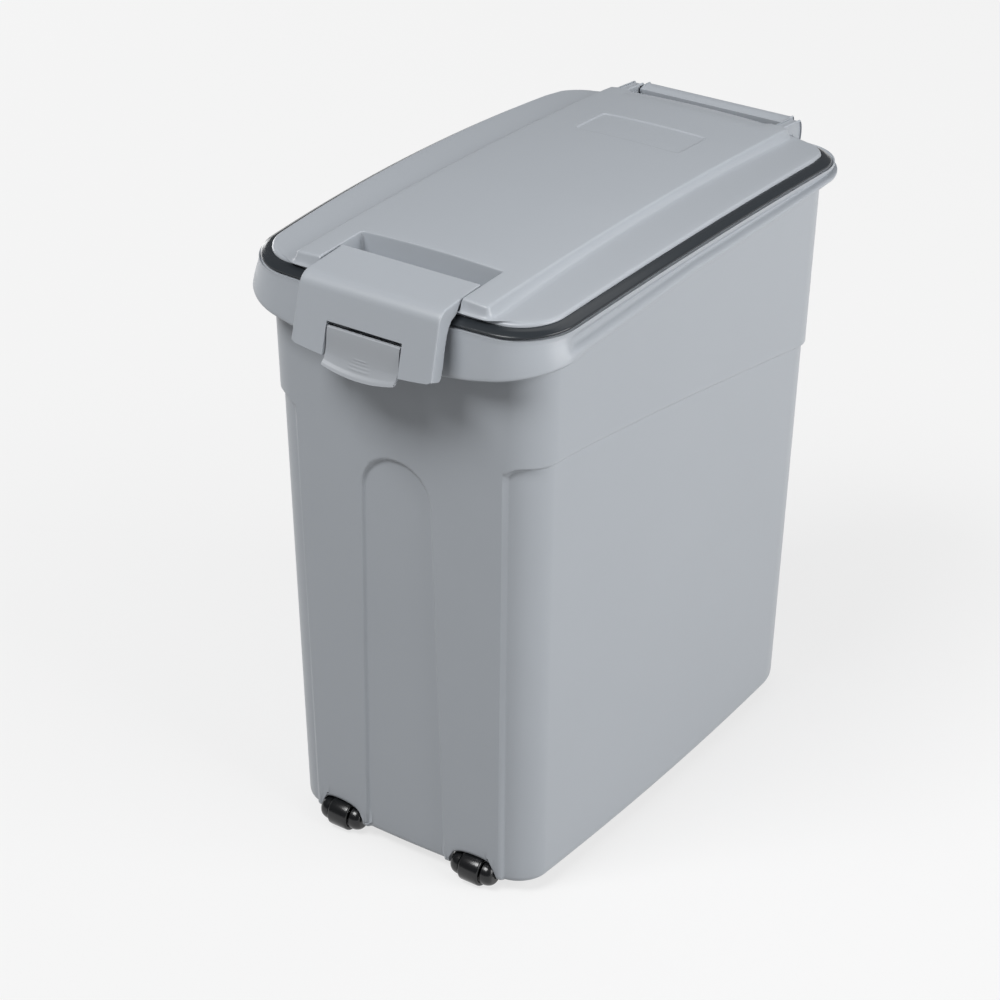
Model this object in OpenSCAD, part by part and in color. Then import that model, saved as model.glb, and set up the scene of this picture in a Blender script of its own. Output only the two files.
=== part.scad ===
// Rice bin with a flip lid: a tapered storage bin on four small casters, closed by a
// hinged lid with a sealing ring and a front latch that has its own release button.
// Millimetres. Front is -Y, up is +Z, the floor is Z = 0.

/* [Bin body] */
// width of the foot, measured at the front corners
foot_w = 176.7; // [160:0.1:200]
// depth of the foot, measured at the side ends
foot_d = 320; // [290:1:350]
// height of the foot's edge above the floor
foot_lift = 9; // [8:0.5:10]
// height from the foot's edge to the ends of the rim
body_h = 374.3; // [350:0.1:400]
// wall thickness
wall = 2.5; // [2:0.1:3.2]
// outward lean of each wall for every millimetre of height
draft = 0.0188; // [0.012:0.0002:0.022]
// bulge of each wall past its corners
wall_bow = 4.6; // [2:0.1:6]
// corner radius at the front
corner_front = 18; // [12:1:26]
// corner radius at the back
corner_rear = 36; // [24:1:44]
// how far the upper band and the front strips stand proud
step_out = 2.2; // [1.2:0.1:2.8]
// height of the step on the front corners
step_front_z = 290; // [270:1:300]
// height of the step at the back
step_rear_z = 250; // [230:1:265]
// radius of the step line's corner above each front recess
step_corner = 11; // [6:0.5:14]
// half width across the front strips at the top
strip_half_top = 74.5; // [68:0.5:78]
// half width across the front strips at the bottom
strip_half_foot = 71; // [66:0.5:76]
// half width of the front arch at its spring line
arch_half_top = 24.4; // [18:0.1:30]
// half width of the front arch at the foot
arch_half_foot = 29.5; // [22:0.1:36]
// height of the crown of the front arch
arch_crown_z = 272; // [240:1:280]
// height of the bin's inner floor underside
floor_z = 15; // [14.5:0.5:20]

/* [Rim] */
// how far the rim's top face reaches inward from the lid's edge
rim_reach = 5.2; // [4:0.1:7]
// outward flare of the skirt's lower lip
skirt_flare = 3; // [1.5:0.1:3.5]
// skirt wall thickness
skirt_wall = 2.2; // [1.8:0.1:2.8]
// depth of the skirt below the rim's ends at the middle of the front
skirt_front_drop = 33.3; // [26:0.1:38]
// depth of the skirt below the rim's ends along the sides
skirt_side_drop = 6; // [4.3:0.1:12]

/* [Lid] */
// how far the lid's edge reaches past the body's wall at each side
lid_over_side = 2.26; // [1:0.01:4]
// how far the lid's edge reaches past the body's wall at the front
lid_over_front = 4.37; // [3:0.01:6]
// how far the lid's edge stays inside the body's wall at the back
lid_short_rear = 9.75; // [8:0.01:12]
// corner radius of the lid
lid_corner = 24; // [18:1:30]
// bulge of the lid's edge past its corners
lid_bow = 4.4; // [2:0.1:6]
// rise of the lid and the rim from their ends to their middle
lid_rise = 5.9; // [3:0.1:7]
// thickness of the lid's skin
lid_skin = 2.3; // [2:0.1:3]
// half width of the raised panel
panel_half = 66.5; // [58:0.5:72]
// height of the raised panel above the lid's edge
panel_h = 6; // [4:0.1:8]
// crown of the panel across its width
panel_crown = 2.4; // [1:0.1:4]
// clearance between the latch pocket's sides and the flap
pocket_play = 1.3; // [0.8:0.1:3]
// room between the flap's pin and the pocket's back wall
pocket_room = 25; // [20:0.1:34]
// plain recess in the panel: width, depth across and depth down
recess_w = 75; // [50:1:90]
// length of the plain recess
recess_l = 34; // [20:1:40]
// depth of the plain recess
recess_deep = 0.6; // [0.3:0.1:1]
// middle of the plain recess behind the body's centre
recess_y = 86; // [70:1:100]

/* [Sealing ring] */
// how far the ring shows past the lid's edge
ring_out = 7.4; // [5:0.1:9]
// how far the ring reaches under the lid
ring_in = 3.7; // [2.5:0.1:4.5]
// height of the ring
ring_h = 4; // [3:0.1:5]
// play between the closed ring and the rim
ring_gap = 0.3; // [0.2:0.05:0.5]

/* [Rear hinge] */
// distance of the hinge pin behind the body's rear wall
hinge_out = 9.96; // [8:0.01:13]
// height of the hinge pin above the rim's ends
hinge_rise = 3; // [0.7:0.1:5.7]
// hinge pin diameter
hinge_pin_d = 4; // [3:0.5:5]
// radius of the body's hinge bar
bar_r = 7.5; // [6.5:0.1:7.6]
// half length of the body's hinge bar
bar_half = 54; // [44:0.5:56]
// radius of the lid's hinge ears
ear_r = 8.2; // [7.5:0.1:8.6]
// width of each hinge ear
ear_w = 8; // [7:0.5:14]
// side play at each hinge ear
ear_gap = 0.6; // [0.4:0.1:1]

/* [Latch flap] */
// half width of the flap at its top
flap_half_top = 47.6; // [44:0.1:48]
// half width of the flap at its lower edge
flap_half_low = 48.9; // [46:0.1:51]
// thickness of the flap's skin
flap_skin = 2.5; // [2:0.1:3]
// thickness of the flap's side flanges
flange_skin = 2.3; // [1.8:0.1:3]
// distance of the flap's pin behind the lid's front edge
flap_pin_in = 16.31; // [14.8:0.01:17.8]
// height of the flap's pin above the rim's ends
flap_pin_rise = 10.3; // [9.9:0.1:10.7]
// flap pin diameter
flap_pin_d = 2; // [1.6:0.1:2.2]
// radius of the flap's barrel
barrel_r = 4; // [3.5:0.1:4.3]
// height of the flap's top surface above its pin
flap_rise = 5; // [4.5:0.1:5.4]
// how far the flap's top reaches behind its pin
flap_tail = 4.6; // [3:0.1:5]
// radius of the bend from the flap's top to its face
bend_r = 17; // [12:1:20]
// outward lean of the flap's face
face_lean = 16; // [12:0.5:18]
// distance of the flap's face in front of the lid's edge, at the flap's top
face_out = 12.09; // [10:0.01:14]
// depth of the flap's lower edge below the rim's ends
flap_drop = 28.7; // [25:0.1:32]

/* [Release button] */
// half width of the button
button_half = 25.6; // [22:0.1:30]
// thickness of the button's plate
button_skin = 3.6; // [3:0.1:3.8]
// depth of the button's top edge below the rim's ends
button_top_drop = 12.9; // [10.5:0.1:15]
// height of the button from its lower lip to its top edge
button_h = 22.6; // [20:0.1:26]
// clearance between the button's sides and the flap
button_gap = 0.7; // [0.5:0.1:1.2]
// gap above the button
button_slot = 2.4; // [2:0.1:3]
// button pin diameter
button_pin_d = 2; // [1.6:0.1:2.4]
// depth of the button pin below the button's top edge
button_pin_drop = 4.9; // [4:0.1:6]
// distance of the button pin behind the flap's face
button_pin_in = 5; // [4.6:0.1:5.2]
// wire diameter of the return spring
spring_wire = 0.7; // [0.5:0.05:0.9]

/* [Casters] */
// distance of each caster's middle inside the foot's side
caster_side_in = 37.85; // [32:0.05:42]
// distance of the front casters inside the foot's front
caster_front_in = -1.6; // [-2.5:0.1:6]
// distance of the rear casters inside the foot's back
caster_rear_in = 17; // [14:0.1:25]
// roller radius
roller_r = 10; // [9:0.1:10.4]
// roller width
roller_w = 15; // [12:0.5:18]
// radius of the housing's round cheeks
cheek_r = 8; // [7:0.1:8.4]
// thickness of each cheek
cheek_w = 7.6; // [6:0.1:9]
// caster axle diameter
axle_d = 4; // [3:0.5:4.5]

/* [Fits] */
// radial play of a pin in its bore
pin_play = 0.05; // [0.03:0.01:0.1]
// running gap between neighbouring moving pieces
run_gap = 0.6; // [0.4:0.1:1]

/* [Hidden] */
corner_steps = 8;
side_steps = 7;
round_fn = 72;
fine_fn = 48;
eps = 0.02;
big = 600;
body_top = body_h;
// half depth of the body between its corners at the rim
wall_end = foot_d / 2 + draft * body_h;
lid_w = foot_w + 2 * (draft * body_h + lid_over_side);
lid_d = 2 * wall_end + lid_over_front - lid_short_rear;
lid_yc = -(lid_over_front + lid_short_rear) / 2;
lid_half_d = lid_d / 2;
// the lid's foremost and rearmost points, at the middle of its bowed ends
lid_front = lid_yc - lid_half_d - lid_bow;
lid_rear = lid_yc + lid_half_d + lid_bow;
skirt_front_z = body_top - skirt_front_drop;
skirt_side_z = body_top - skirt_side_drop;
hinge_y = wall_end + hinge_out;
hinge_z = body_top + hinge_rise;
pocket_half = flap_half_top + pocket_play;
flap_pin_y = -lid_front - flap_pin_in;
flap_pin_z = body_top + flap_pin_rise;
pocket_back = flap_pin_y - pocket_room;
flap_low_z = body_top - flap_drop;
button_top_z = body_top - button_top_drop;
button_low_z = button_top_z - button_h;
button_pin_z = button_top_z - button_pin_drop;
caster_x = foot_w / 2 - caster_side_in;
caster_front_y = foot_d / 2 - caster_front_in;
caster_rear_y = foot_d / 2 - caster_rear_in;
hinge_bore_r = hinge_pin_d / 2 + pin_play;
flap_bore_r = flap_pin_d / 2 + pin_play;
button_bore_r = button_pin_d / 2 + pin_play;
axle_bore_r = axle_d / 2 + pin_play;
ring_bottom = body_top + ring_gap;
seat_gap = 0.05;
lid_under = ring_bottom + ring_h + seat_gap;
flap_top = flap_pin_z + flap_rise;
// the flap's face leans out from this edge
face_tan = tan(face_lean);
face_top_y = lid_front - face_out;
face_top_z = flap_top - 1;
button_pin_y = face_y(button_pin_z) + button_pin_in;
ear_in = bar_half + ear_gap;
ear_out = ear_in + ear_w;
caster_z = roller_r - foot_lift;
front_reach = -face_y(button_low_z);
rear_reach = hinge_y + ear_r;
y_shift = (front_reach - rear_reach) / 2;

plastic = [0.70, 0.71, 0.73];
plastic_dark = [0.62, 0.64, 0.66];
black = [0.12, 0.12, 0.13];
rubber = [0.16, 0.17, 0.18];
steel = [0.75, 0.76, 0.78];

// ---- outlines ------------------------------------------------------------------

function arc(cx, cy, r, a0) =
    [for (i = [0:corner_steps])
        [cx + r * cos(a0 + 90 * i / corner_steps), cy + r * sin(a0 + 90 * i / corner_steps)]];

function between(a, b) =
    [for (i = [1:side_steps - 1]) a + (b - a) * i / side_steps];

// a rounded rectangle about the origin with its own radii at the front and the back
function rounded(w, d, rf, rr) =
    let (x = w / 2, y = d / 2)
    concat(
        arc(x - rr, y - rr, rr, 0),
        between([x - rr, y], [-x + rr, y]),
        arc(-x + rr, y - rr, rr, 90),
        between([-x, y - rr], [-x, -y + rf]),
        arc(-x + rf, -y + rf, rf, 180),
        between([-x + rf, -y], [x - rf, -y]),
        arc(x - rf, -y + rf, rf, 270),
        between([x, -y + rf], [x, y - rr]));

// the same outline with each side bulging most at its middle
function bowed(w, d, rf, rr, bow) =
    [for (p = rounded(w, d, rf, rr))
        let (u = 2 * p.x / w, v = 2 * p.y / d)
        [p.x + bow * u * (1 - v * v), p.y + bow * v * (1 - u * u)]];

// rise of the lid and the rim above their ends at depth y
function arch_at(y) = lid_rise * (1 - pow((y - lid_yc) / lid_half_d, 2));

// body outline at height z, moved outward by off
function body_ring(z, off) =
    let (g = 2 * (draft * z + off))
    [for (p = bowed(foot_w + g, foot_d + g, corner_front + off, corner_rear + off, wall_bow))
        [p.x, p.y, z]];

// lid outline moved outward by off, with a height for each point
function lid_flat(off) =
    [for (p = bowed(lid_w + 2 * off, lid_d + 2 * off, lid_corner + off, lid_corner + off, lid_bow))
        [p.x, p.y + lid_yc]];

function lid_ring(off, z) =
    [for (p = lid_flat(off)) [p.x, p.y, z + arch_at(p.y)]];

// the scallop ends beside the lid's front corners, where it has climbed this share
scallop_half = lid_w / 2 + ring_out + 1.95;
scallop_y = lid_yc - lid_half_d + ring_out;
scallop_share = 0.687;
scallop_slope = 0.075;

// height of the skirt's lower edge: a scallop that is deepest at the front
function skirt_at(p) =
    min(skirt_side_z,
        skirt_front_z
            + (skirt_side_z - skirt_front_z) * scallop_share * pow(min(abs(p.x) / scallop_half, 1), 2)
            + scallop_slope * max(p.y - scallop_y, 0));

// ---- lofts ---------------------------------------------------------------------

// a closed solid through a list of rings with equal point counts, capped at both ends
module loft(rings) {
    n = len(rings[0]);
    m = len(rings);
    polyhedron(
        points = [for (r = rings) for (p = r) p],
        faces = concat(
            [[for (i = [0:n - 1]) i]],
            [for (k = [0:m - 2]) for (i = [0:n - 1])
                let (j = (i + 1) % n)
                each [[k * n + i, (k + 1) * n + j, k * n + j], [k * n + i, (k + 1) * n + i, (k + 1) * n + j]]],
            [[for (i = [n - 1:-1:0]) (m - 1) * n + i]]));
}

// a closed tube around an outline: the rings run once round its cross-section
module ring_tube(rings) {
    n = len(rings[0]);
    m = len(rings);
    polyhedron(
        points = [for (r = rings) for (p = r) p],
        faces = [for (k = [0:m - 1]) for (i = [0:n - 1])
            let (j = (i + 1) % n, l = (k + 1) % m)
            each [[k * n + i, l * n + j, k * n + j], [k * n + i, l * n + i, l * n + j]]]);
}

// a dished solid: rings like loft, and both ends closed by a point at the middle
module dome(rings, low, high) {
    n = len(rings[0]);
    m = len(rings);
    polyhedron(
        points = concat([for (r = rings) for (p = r) p], [low, high]),
        faces = concat(
            [for (i = [0:n - 1]) [i, (i + 1) % n, m * n]],
            [for (k = [0:m - 2]) for (i = [0:n - 1])
                let (j = (i + 1) % n)
                each [[k * n + i, (k + 1) * n + j, k * n + j], [k * n + i, (k + 1) * n + i, (k + 1) * n + j]]],
            [for (i = [0:n - 1]) [(m - 1) * n + (i + 1) % n, (m - 1) * n + i, m * n + 1]]));
}

module placed() {
    translate([0, y_shift, foot_lift])
        children();
}

// a cylinder along X, centred on x
module rod_x(r, len_x, at, fn = round_fn) {
    translate(at)
        rotate([0, 90, 0])
            cylinder(r = r, h = len_x, center = true, $fn = fn);
}

// a block given by its low and high corners
module block(low, high) {
    translate(low)
        cube(high - low);
}

// a side view, drawn in Y and Z, carried from x0 to x1
module side_slab(x0, x1) {
    translate([x0, 0, 0])
        rotate([90, 0, 90])
            linear_extrude(x1 - x0)
                children();
}

// a front view, drawn in X and Z, carried from y0 back to y1
module front_slab(y0, y1) {
    translate([0, y1, 0])
        rotate([90, 0, 0])
            linear_extrude(y1 - y0)
                children();
}

// ---- bin body ------------------------------------------------------------------

foot_round = 4;

module body_skin(off) {
    loft([
        body_ring(0, off - 1.3),
        body_ring(foot_round * 0.3, off - 0.4),
        body_ring(foot_round, off),
        body_ring(body_top - 2, off)]);
}

step_front_y = -0.45 * foot_d;
step_rear_y = 0.469 * foot_d;
step_curve = 1.4;

// height of the step line at depth y: level at the front and steepest at the back
function step_at(y) =
    step_rear_z + (step_front_z - step_rear_z)
        * (1 - pow(max(0, (y - step_front_y) / (step_rear_y - step_front_y)), step_curve));

// the space beside the step line, seen from the side: below the curved line
module step_side_view() {
    steps = 14;
    polygon(concat(
        [[-big, step_front_z], [-big, -big], [big, -big], [big, step_rear_z]],
        [for (i = [steps:-1:0])
            let (y = step_front_y + (step_rear_y - step_front_y) * i / steps) [y, step_at(y)]]));
}

// the same seen from the front: beyond the front strips, with a rounded upper corner
module step_front_view() {
    corner = step_corner;
    lean = atan((strip_half_top - strip_half_foot) / step_front_z);
    mirror_pair() {
        difference() {
            polygon([
                [strip_half_foot, 0], [strip_half_top, step_front_z],
                [big, step_front_z], [big, -big], [strip_half_foot, -big]]);
            translate([strip_half_top - eps, step_front_z - corner])
                rotate(-lean)
                    square([corner, corner + 1]);
        }
        translate([strip_half_top + corner - eps, step_front_z - corner])
            circle(r = corner, $fn = fine_fn);
    }
}

module mirror_pair() {
    children();
    mirror([1, 0, 0])
        children();
}

module step_cut() {
    intersection() {
        side_slab(-big, big)
            step_side_view();
        union() {
            front_slab(-big, 0)
                step_front_view();
            front_slab(-eps, big)
                translate([-big, -big])
                    square([2 * big, 2 * big]);
        }
    }
}

module front_arch() {
    crown_r = arch_half_top;
    front_slab(-big, 0) {
        translate([0, arch_crown_z - crown_r])
            circle(r = crown_r, $fn = round_fn);
        polygon([
            [-arch_half_foot, -big], [arch_half_foot, -big], [arch_half_foot, 0],
            [crown_r, arch_crown_z - crown_r], [-crown_r, arch_crown_z - crown_r],
            [-arch_half_foot, 0]]);
    }
}

module body_cavity() {
    fillet = 12;
    bottom = floor_z + wall;
    loft([
        body_ring(bottom, -wall - fillet),
        body_ring(bottom + fillet * 0.134, -wall - fillet * 0.5),
        body_ring(bottom + fillet * 0.5, -wall - fillet * 0.134),
        body_ring(bottom + fillet, -wall),
        body_ring(body_top + 20, -wall)]);
}

module under_cavity() {
    loft([
        body_ring(-2, -wall),
        body_ring(floor_z, -wall)]);
}

module floor_ribs() {
    rib = 2;
    low = 6;
    inset = 6;
    x = foot_w / 2 - inset;
    y = foot_d / 2 - inset;
    for (s = [-1, 0, 1])
        block([s * 22 - rib / 2, -y + 6, low], [s * 22 + rib / 2, y - 6, floor_z + eps]);
    for (s = [-1, 0, 1])
        block([-x, s * 60 - rib / 2, low], [x, s * 60 + rib / 2, floor_z + eps]);
}

module rim() {
    out = ring_out;
    ring_tube([
        [for (p = lid_flat(out + skirt_flare)) [p.x, p.y, skirt_at(p)]],
        [for (p = lid_flat(out + skirt_flare - 0.3)) [p.x, p.y, skirt_at(p) + 1.4]],
        [for (p = lid_flat(out + 0.9)) [p.x, p.y, min(skirt_at(p) + 6, body_top + arch_at(p.y) - 3)]],
        [for (p = lid_flat(out + 0.2)) [p.x, p.y, body_top + arch_at(p.y) - 0.5]],
        [for (p = lid_flat(out - 0.3)) [p.x, p.y, body_top + arch_at(p.y)]],
        [for (p = lid_flat(-rim_reach)) [p.x, p.y, body_top + arch_at(p.y)]],
        [for (p = lid_flat(-rim_reach)) [p.x, p.y, body_top + arch_at(p.y) - wall]],
        [for (p = lid_flat(out - skirt_wall)) [p.x, p.y, body_top + arch_at(p.y) - wall]],
        [for (p = lid_flat(out + 0.7 - skirt_wall))
            [p.x, p.y, min(skirt_at(p) + 5, body_top + arch_at(p.y) - wall - 0.6)]],
        [for (p = lid_flat(out + skirt_flare - skirt_wall)) [p.x, p.y, skirt_at(p)]]]);
}

// the beam behind the rim that carries the hinge bar
// the beam runs this far past each ear, and its back and web stand this deep
bracket_past = 4;
bracket_deep = 21;
bracket_web = 43;
bar_deep = 12;
bar_edge = 2;

module hinge_bracket() {
    half = ear_out + bracket_past;
    back = hinge_y - 1.6;
    top = body_top - 1.2;
    low = top - bracket_deep;
    foot = top - bracket_web;
    in_wall = wall_end - wall / 2;
    front = lid_rear - rim_reach;
    side_slab(-half, half)
        polygon([
            [front, top], [back, top], [back, low], [in_wall, foot],
            [in_wall, foot + 15], [(front + back) / 2, low], [front, top - 11]]);
    side_slab(-bar_half, bar_half) {
        translate([hinge_y, hinge_z])
            circle(r = bar_r, $fn = round_fn);
        translate([hinge_y - bar_r, hinge_z - bar_deep])
            square([2 * bar_r, bar_deep]);
        translate([hinge_y, hinge_z])
            square([bar_r, bar_r - bar_edge]);
        translate([hinge_y, hinge_z])
            square([bar_r - bar_edge, bar_r]);
        translate([hinge_y + bar_r - bar_edge, hinge_z + bar_r - bar_edge])
            circle(r = bar_edge, $fn = fine_fn);
        polygon([
            [back - 4, (low + foot) / 2], [hinge_y + bar_r, hinge_z - bar_deep + eps],
            [hinge_y - bar_r, hinge_z - bar_deep + eps]]);
    }
}

// the round spaces that the lid's ears turn in
module ear_spaces() {
    for (s = [-1, 1])
        rod_x(ear_r + run_gap, ear_w + 2 * ear_gap,
            [s * (ear_in + ear_w / 2), hinge_y, hinge_z]);
}

// the button's hooks run between these distances from the middle
hook_in = 8;
hook_out = 18;
catch_half = hook_out + 2;
catch_z = button_pin_z - 4.5;
catch_deep = 4.6;
catch_y = lid_front - ring_out - catch_deep;
nose_y = catch_y - 0.5;

// a ledge with a flat underside and a sloping top, which the button's hooks snap under
module catch_ledge() {
    root = catch_deep + 0.8;
    side_slab(-catch_half, catch_half)
        polygon([[catch_y, catch_z], [catch_y, catch_z + 1.8], [catch_y + root, catch_z + 7],
            [catch_y + root, catch_z]]);
}

// the front wall is cut away over each front caster
module wheel_arch(s) {
    half = cheek_w + roller_w / 2 + 2.6;
    r = 6;
    top = caster_z + roller_r + run_gap;
    translate([s * caster_x, 0, 0])
        front_slab(-big, -foot_d / 2 + 14) {
            translate([-half, -big])
                square([2 * half, top - r + big]);
            translate([-half + r, -big])
                square([2 * half - 2 * r, top + big]);
            mirror_pair()
                translate([half - r, top - r])
                    circle(r = r, $fn = fine_fn);
        }
}

screw_reach = 15.5;
screw_hole_r = 1.6;
boss_r = 4;
boss_h = 11;

module screw_boss(p) {
    translate([p.x, p.y, floor_z + wall / 2])
        cylinder(r = boss_r, h = boss_h, $fn = fine_fn);
}

screw_places = [for (sx = [-1, 1]) for (k = [-1, 1])
    [sx * caster_x, k < 0 ? -caster_front_y + screw_reach : caster_rear_y - screw_reach]];

module bin_body() {
    color(plastic)
        placed()
            difference() {
                union() {
                    difference() {
                        union() {
                            body_skin(0);
                            difference() {
                                body_skin(step_out);
                                step_cut();
                                front_arch();
                            }
                        }
                        body_cavity();
                        under_cavity();
                        wheel_arch(-1);
                        wheel_arch(1);
                    }
                    floor_ribs();
                    for (p = screw_places)
                        screw_boss(p);
                    rim();
                    hinge_bracket();
                    catch_ledge();
                }
                rod_x(hinge_bore_r, 2 * ear_out + 20, [0, hinge_y, hinge_z], fine_fn);
                ear_spaces();
                for (p = screw_places)
                    translate([p.x, p.y, floor_z - boss_h + 1])
                        cylinder(r = screw_hole_r, h = 2 * boss_h - 3, $fn = fine_fn);
            }
}

// ---- lid -----------------------------------------------------------------------

panel_front = lid_front + 2.91;
panel_rear = lid_rear - 5.69;
panel_d = panel_rear - panel_front;
panel_yc = (panel_rear + panel_front) / 2;
panel_round = 1.6;
// depth of the blocks that hollow and trim the panel
panel_cut = panel_h + 14;
// height of the panel's middle line above the lid's skin, and its fall towards the ends
panel_rise = 6.8;
panel_fall = 0.000144;

// height of the panel's surface
function panel_z(x, y) =
    lid_under + lid_skin + panel_h + panel_rise - panel_fall * pow(y + 10, 2)
        - panel_crown * pow(x / panel_half, 2);

// panel outline grown by off, at the panel's surface less drop
function panel_flat(off) =
    [for (p = rounded(2 * (panel_half + off), panel_d + 2 * off, 7 + off, 9 + off))
        [p.x, p.y + panel_yc]];

function panel_ring(off, drop) =
    [for (p = panel_flat(off)) [p.x, p.y, panel_z(p.x, p.y) - drop]];

// rings drawn inward to the middle line, for a surface that follows its own height
function lid_cap(z) =
    [for (k = [0.12, 0.3, 0.55, 0.8]) [for (p = lid_flat(0))
        let (x = p.x * (1 - k), y = lid_yc + (p.y - lid_yc) * (1 - k)) [x, y, z + arch_at(y)]]];

function reversed(v) = [for (i = [len(v) - 1:-1:0]) v[i]];

module lid_plate() {
    low = lid_cap(lid_under);
    high = lid_cap(lid_under + lid_skin);
    dome(
        concat(
            reversed(low),
            [lid_ring(-0.4, lid_under), lid_ring(0, lid_under + 0.5), lid_ring(0, lid_under + 1.5),
                lid_ring(-0.8, lid_under + lid_skin)],
            high),
        [0, lid_yc, lid_under + arch_at(lid_yc)],
        [0, lid_yc, lid_under + lid_skin + arch_at(lid_yc)]);
}

function panel_cap(off, drop) =
    [for (k = [0.15, 0.4, 0.7]) [for (p = panel_flat(off))
        let (x = p.x * (1 - k), y = panel_yc + (p.y - panel_yc) * (1 - k)) [x, y, panel_z(x, y) - drop]]];

module panel_block(off, drop, deep) {
    dome(
        concat(
            [panel_ring(off + 0.34 * deep, drop + deep), panel_ring(off + 0.34 * panel_round, drop + panel_round),
                panel_ring(off - 0.4 * panel_round, drop + 0.3 * panel_round),
                panel_ring(off - 1.1 * panel_round, drop)],
            panel_cap(off - 1.1 * panel_round, drop)),
        [0, panel_yc, panel_z(0, panel_yc) - drop - deep],
        [0, panel_yc, panel_z(0, panel_yc) - drop]);
}

pocket_floor = flap_pin_z - norm([flap_tail, flap_rise]) - run_gap;
pocket_deep_front = panel_front + 7.9;
tray_h = 40;

module pocket_space() {
    block([-pocket_half, pocket_deep_front, pocket_floor],
        [pocket_half, -pocket_back, pocket_floor + tray_h]);
    block([-pocket_half, -big, lid_under + lid_skin + 0.6],
        [pocket_half, pocket_deep_front + eps, pocket_floor + tray_h]);
}

module pocket_tray() {
    block([-pocket_half - lid_skin, pocket_deep_front - lid_skin, pocket_floor - lid_skin],
        [pocket_half + lid_skin, -pocket_back + lid_skin, pocket_floor + tray_h / 2]);
}

lug_x = 34;
lug_w = 7;
// the lugs stay clear under the flap's skin
lug_r = flap_rise - flap_skin - 0.4;

module latch_lugs() {
    for (s = [-1, 1])
        side_slab(s * lug_x - lug_w / 2, s * lug_x + lug_w / 2) {
            translate([-flap_pin_y, flap_pin_z])
                circle(r = lug_r, $fn = fine_fn);
            translate([-flap_pin_y - lug_r - 1.4, pocket_floor - eps])
                square([lug_r + 1, flap_pin_z - pocket_floor - 1]);
        }
}

// where the ears' backs meet the raised panel
ear_root = hinge_y - 22;

module hinge_ears() {
    for (s = [-1, 1])
        side_slab(s > 0 ? ear_in : -ear_out, s > 0 ? ear_out : -ear_in) {
            translate([hinge_y, hinge_z])
                circle(r = ear_r, $fn = round_fn);
            polygon([
                [hinge_y, hinge_z + ear_r], [ear_root, hinge_z + ear_r + 2.4],
                [ear_root - 12, hinge_z + ear_r - 1.2], [ear_root - 2, hinge_z + ear_r - 2.6],
                [hinge_y - ear_r - 1.3, hinge_z + ear_r / 2], [hinge_y - ear_r / 2, hinge_z - 1]]);
        }
}

rib_off = -rim_reach - 3.3;
rib_w = 1.8;
rib_h = 7;

// the rib under the lid that drops inside the rim
module locating_rib() {
    root = 1;
    ring_tube([
        lid_ring(rib_off, lid_under - rib_h),
        lid_ring(rib_off, lid_under + root),
        lid_ring(rib_off - rib_w, lid_under + root),
        lid_ring(rib_off - rib_w, lid_under - rib_h)]);
}

module lid() {
    color(plastic)
        placed()
            difference() {
                union() {
                    difference() {
                        union() {
                            lid_plate();
                            panel_block(0, 0, panel_h + 2.2);
                        }
                        difference() {
                            panel_block(-lid_skin, lid_skin, panel_cut);
                            pocket_tray();
                        }
                    }
                    intersection() {
                        pocket_tray();
                        panel_block(0, 0, panel_cut);
                    }
                    locating_rib();
                    hinge_ears();
                }
                difference() {
                    pocket_space();
                    latch_lugs();
                }
                difference() {
                    block([-recess_w / 2, recess_y - recess_l / 2, lid_under + lid_rise],
                        [recess_w / 2, recess_y + recess_l / 2, panel_z(0, recess_y) + 10]);
                    panel_block(0, recess_deep, panel_h + 3);
                }
                rod_x(hinge_bore_r, 2 * (ear_out - 2), [0, hinge_y, hinge_z], fine_fn);
                rod_x(flap_bore_r, 2 * pocket_half + 1, [0, -flap_pin_y, flap_pin_z], fine_fn);
            }
}

module lid_gasket() {
    color(rubber)
        placed()
            ring_tube([
                lid_ring(-ring_in, ring_bottom),
                lid_ring(ring_out - 0.8, ring_bottom),
                lid_ring(ring_out, ring_bottom + 0.9),
                lid_ring(ring_out - 1, ring_bottom + 2.4),
                lid_ring(ring_out - 3.4, ring_bottom + ring_h - 0.5),
                lid_ring(ring_out - 6.2, ring_bottom + ring_h),
                lid_ring(-ring_in, ring_bottom + ring_h)]);
}

module hinge_pin() {
    color(steel)
        placed()
            rod_x(hinge_pin_d / 2, 2 * (ear_out - 2.4), [0, hinge_y, hinge_z], fine_fn);
}

// ---- latch ---------------------------------------------------------------------

// the outer line of the flap's face at height z
function face_y(z) = face_top_y - (face_top_z - z) * face_tan;

bend_turn = 90 - face_lean;
// where the face's line meets the flap's top
bend_corner_y = face_y(flap_top);
bend_y = bend_corner_y + bend_r * tan(bend_turn / 2);
bend_z = flap_top - bend_r;

// side view of everything behind the flap's outer surface, moved in by off
module flap_outer(off) {
    y_top = bend_y;
    translate([bend_y, bend_z])
        circle(r = bend_r - off, $fn = 2 * round_fn);
    polygon([
        [bend_y, flap_top - off], [flap_tail - flap_pin_y, flap_top - off], [flap_tail - flap_pin_y, 300],
        [face_y(300) + off / cos(face_lean), 300],
        [bend_y - (bend_r - off) * cos(face_lean), bend_z + (bend_r - off) * sin(face_lean)],
        [bend_y, bend_z]]);
}

// front view of the flap, narrower by off, with round lower corners
module flap_front(off) {
    r = 5;
    half = flap_half_low - off;
    low = flap_low_z - 3 * off;
    polygon([
        [-flap_half_top + off, flap_top + 5], [flap_half_top - off, flap_top + 5],
        [half, low + r], [half - r, low], [-half + r, low], [-half, low + r]]);
    mirror_pair()
        translate([half - r, low + r])
            circle(r = r, $fn = fine_fn);
}

// how far the side flanges reach in behind the flap's face
flange_in = 8;

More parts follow.
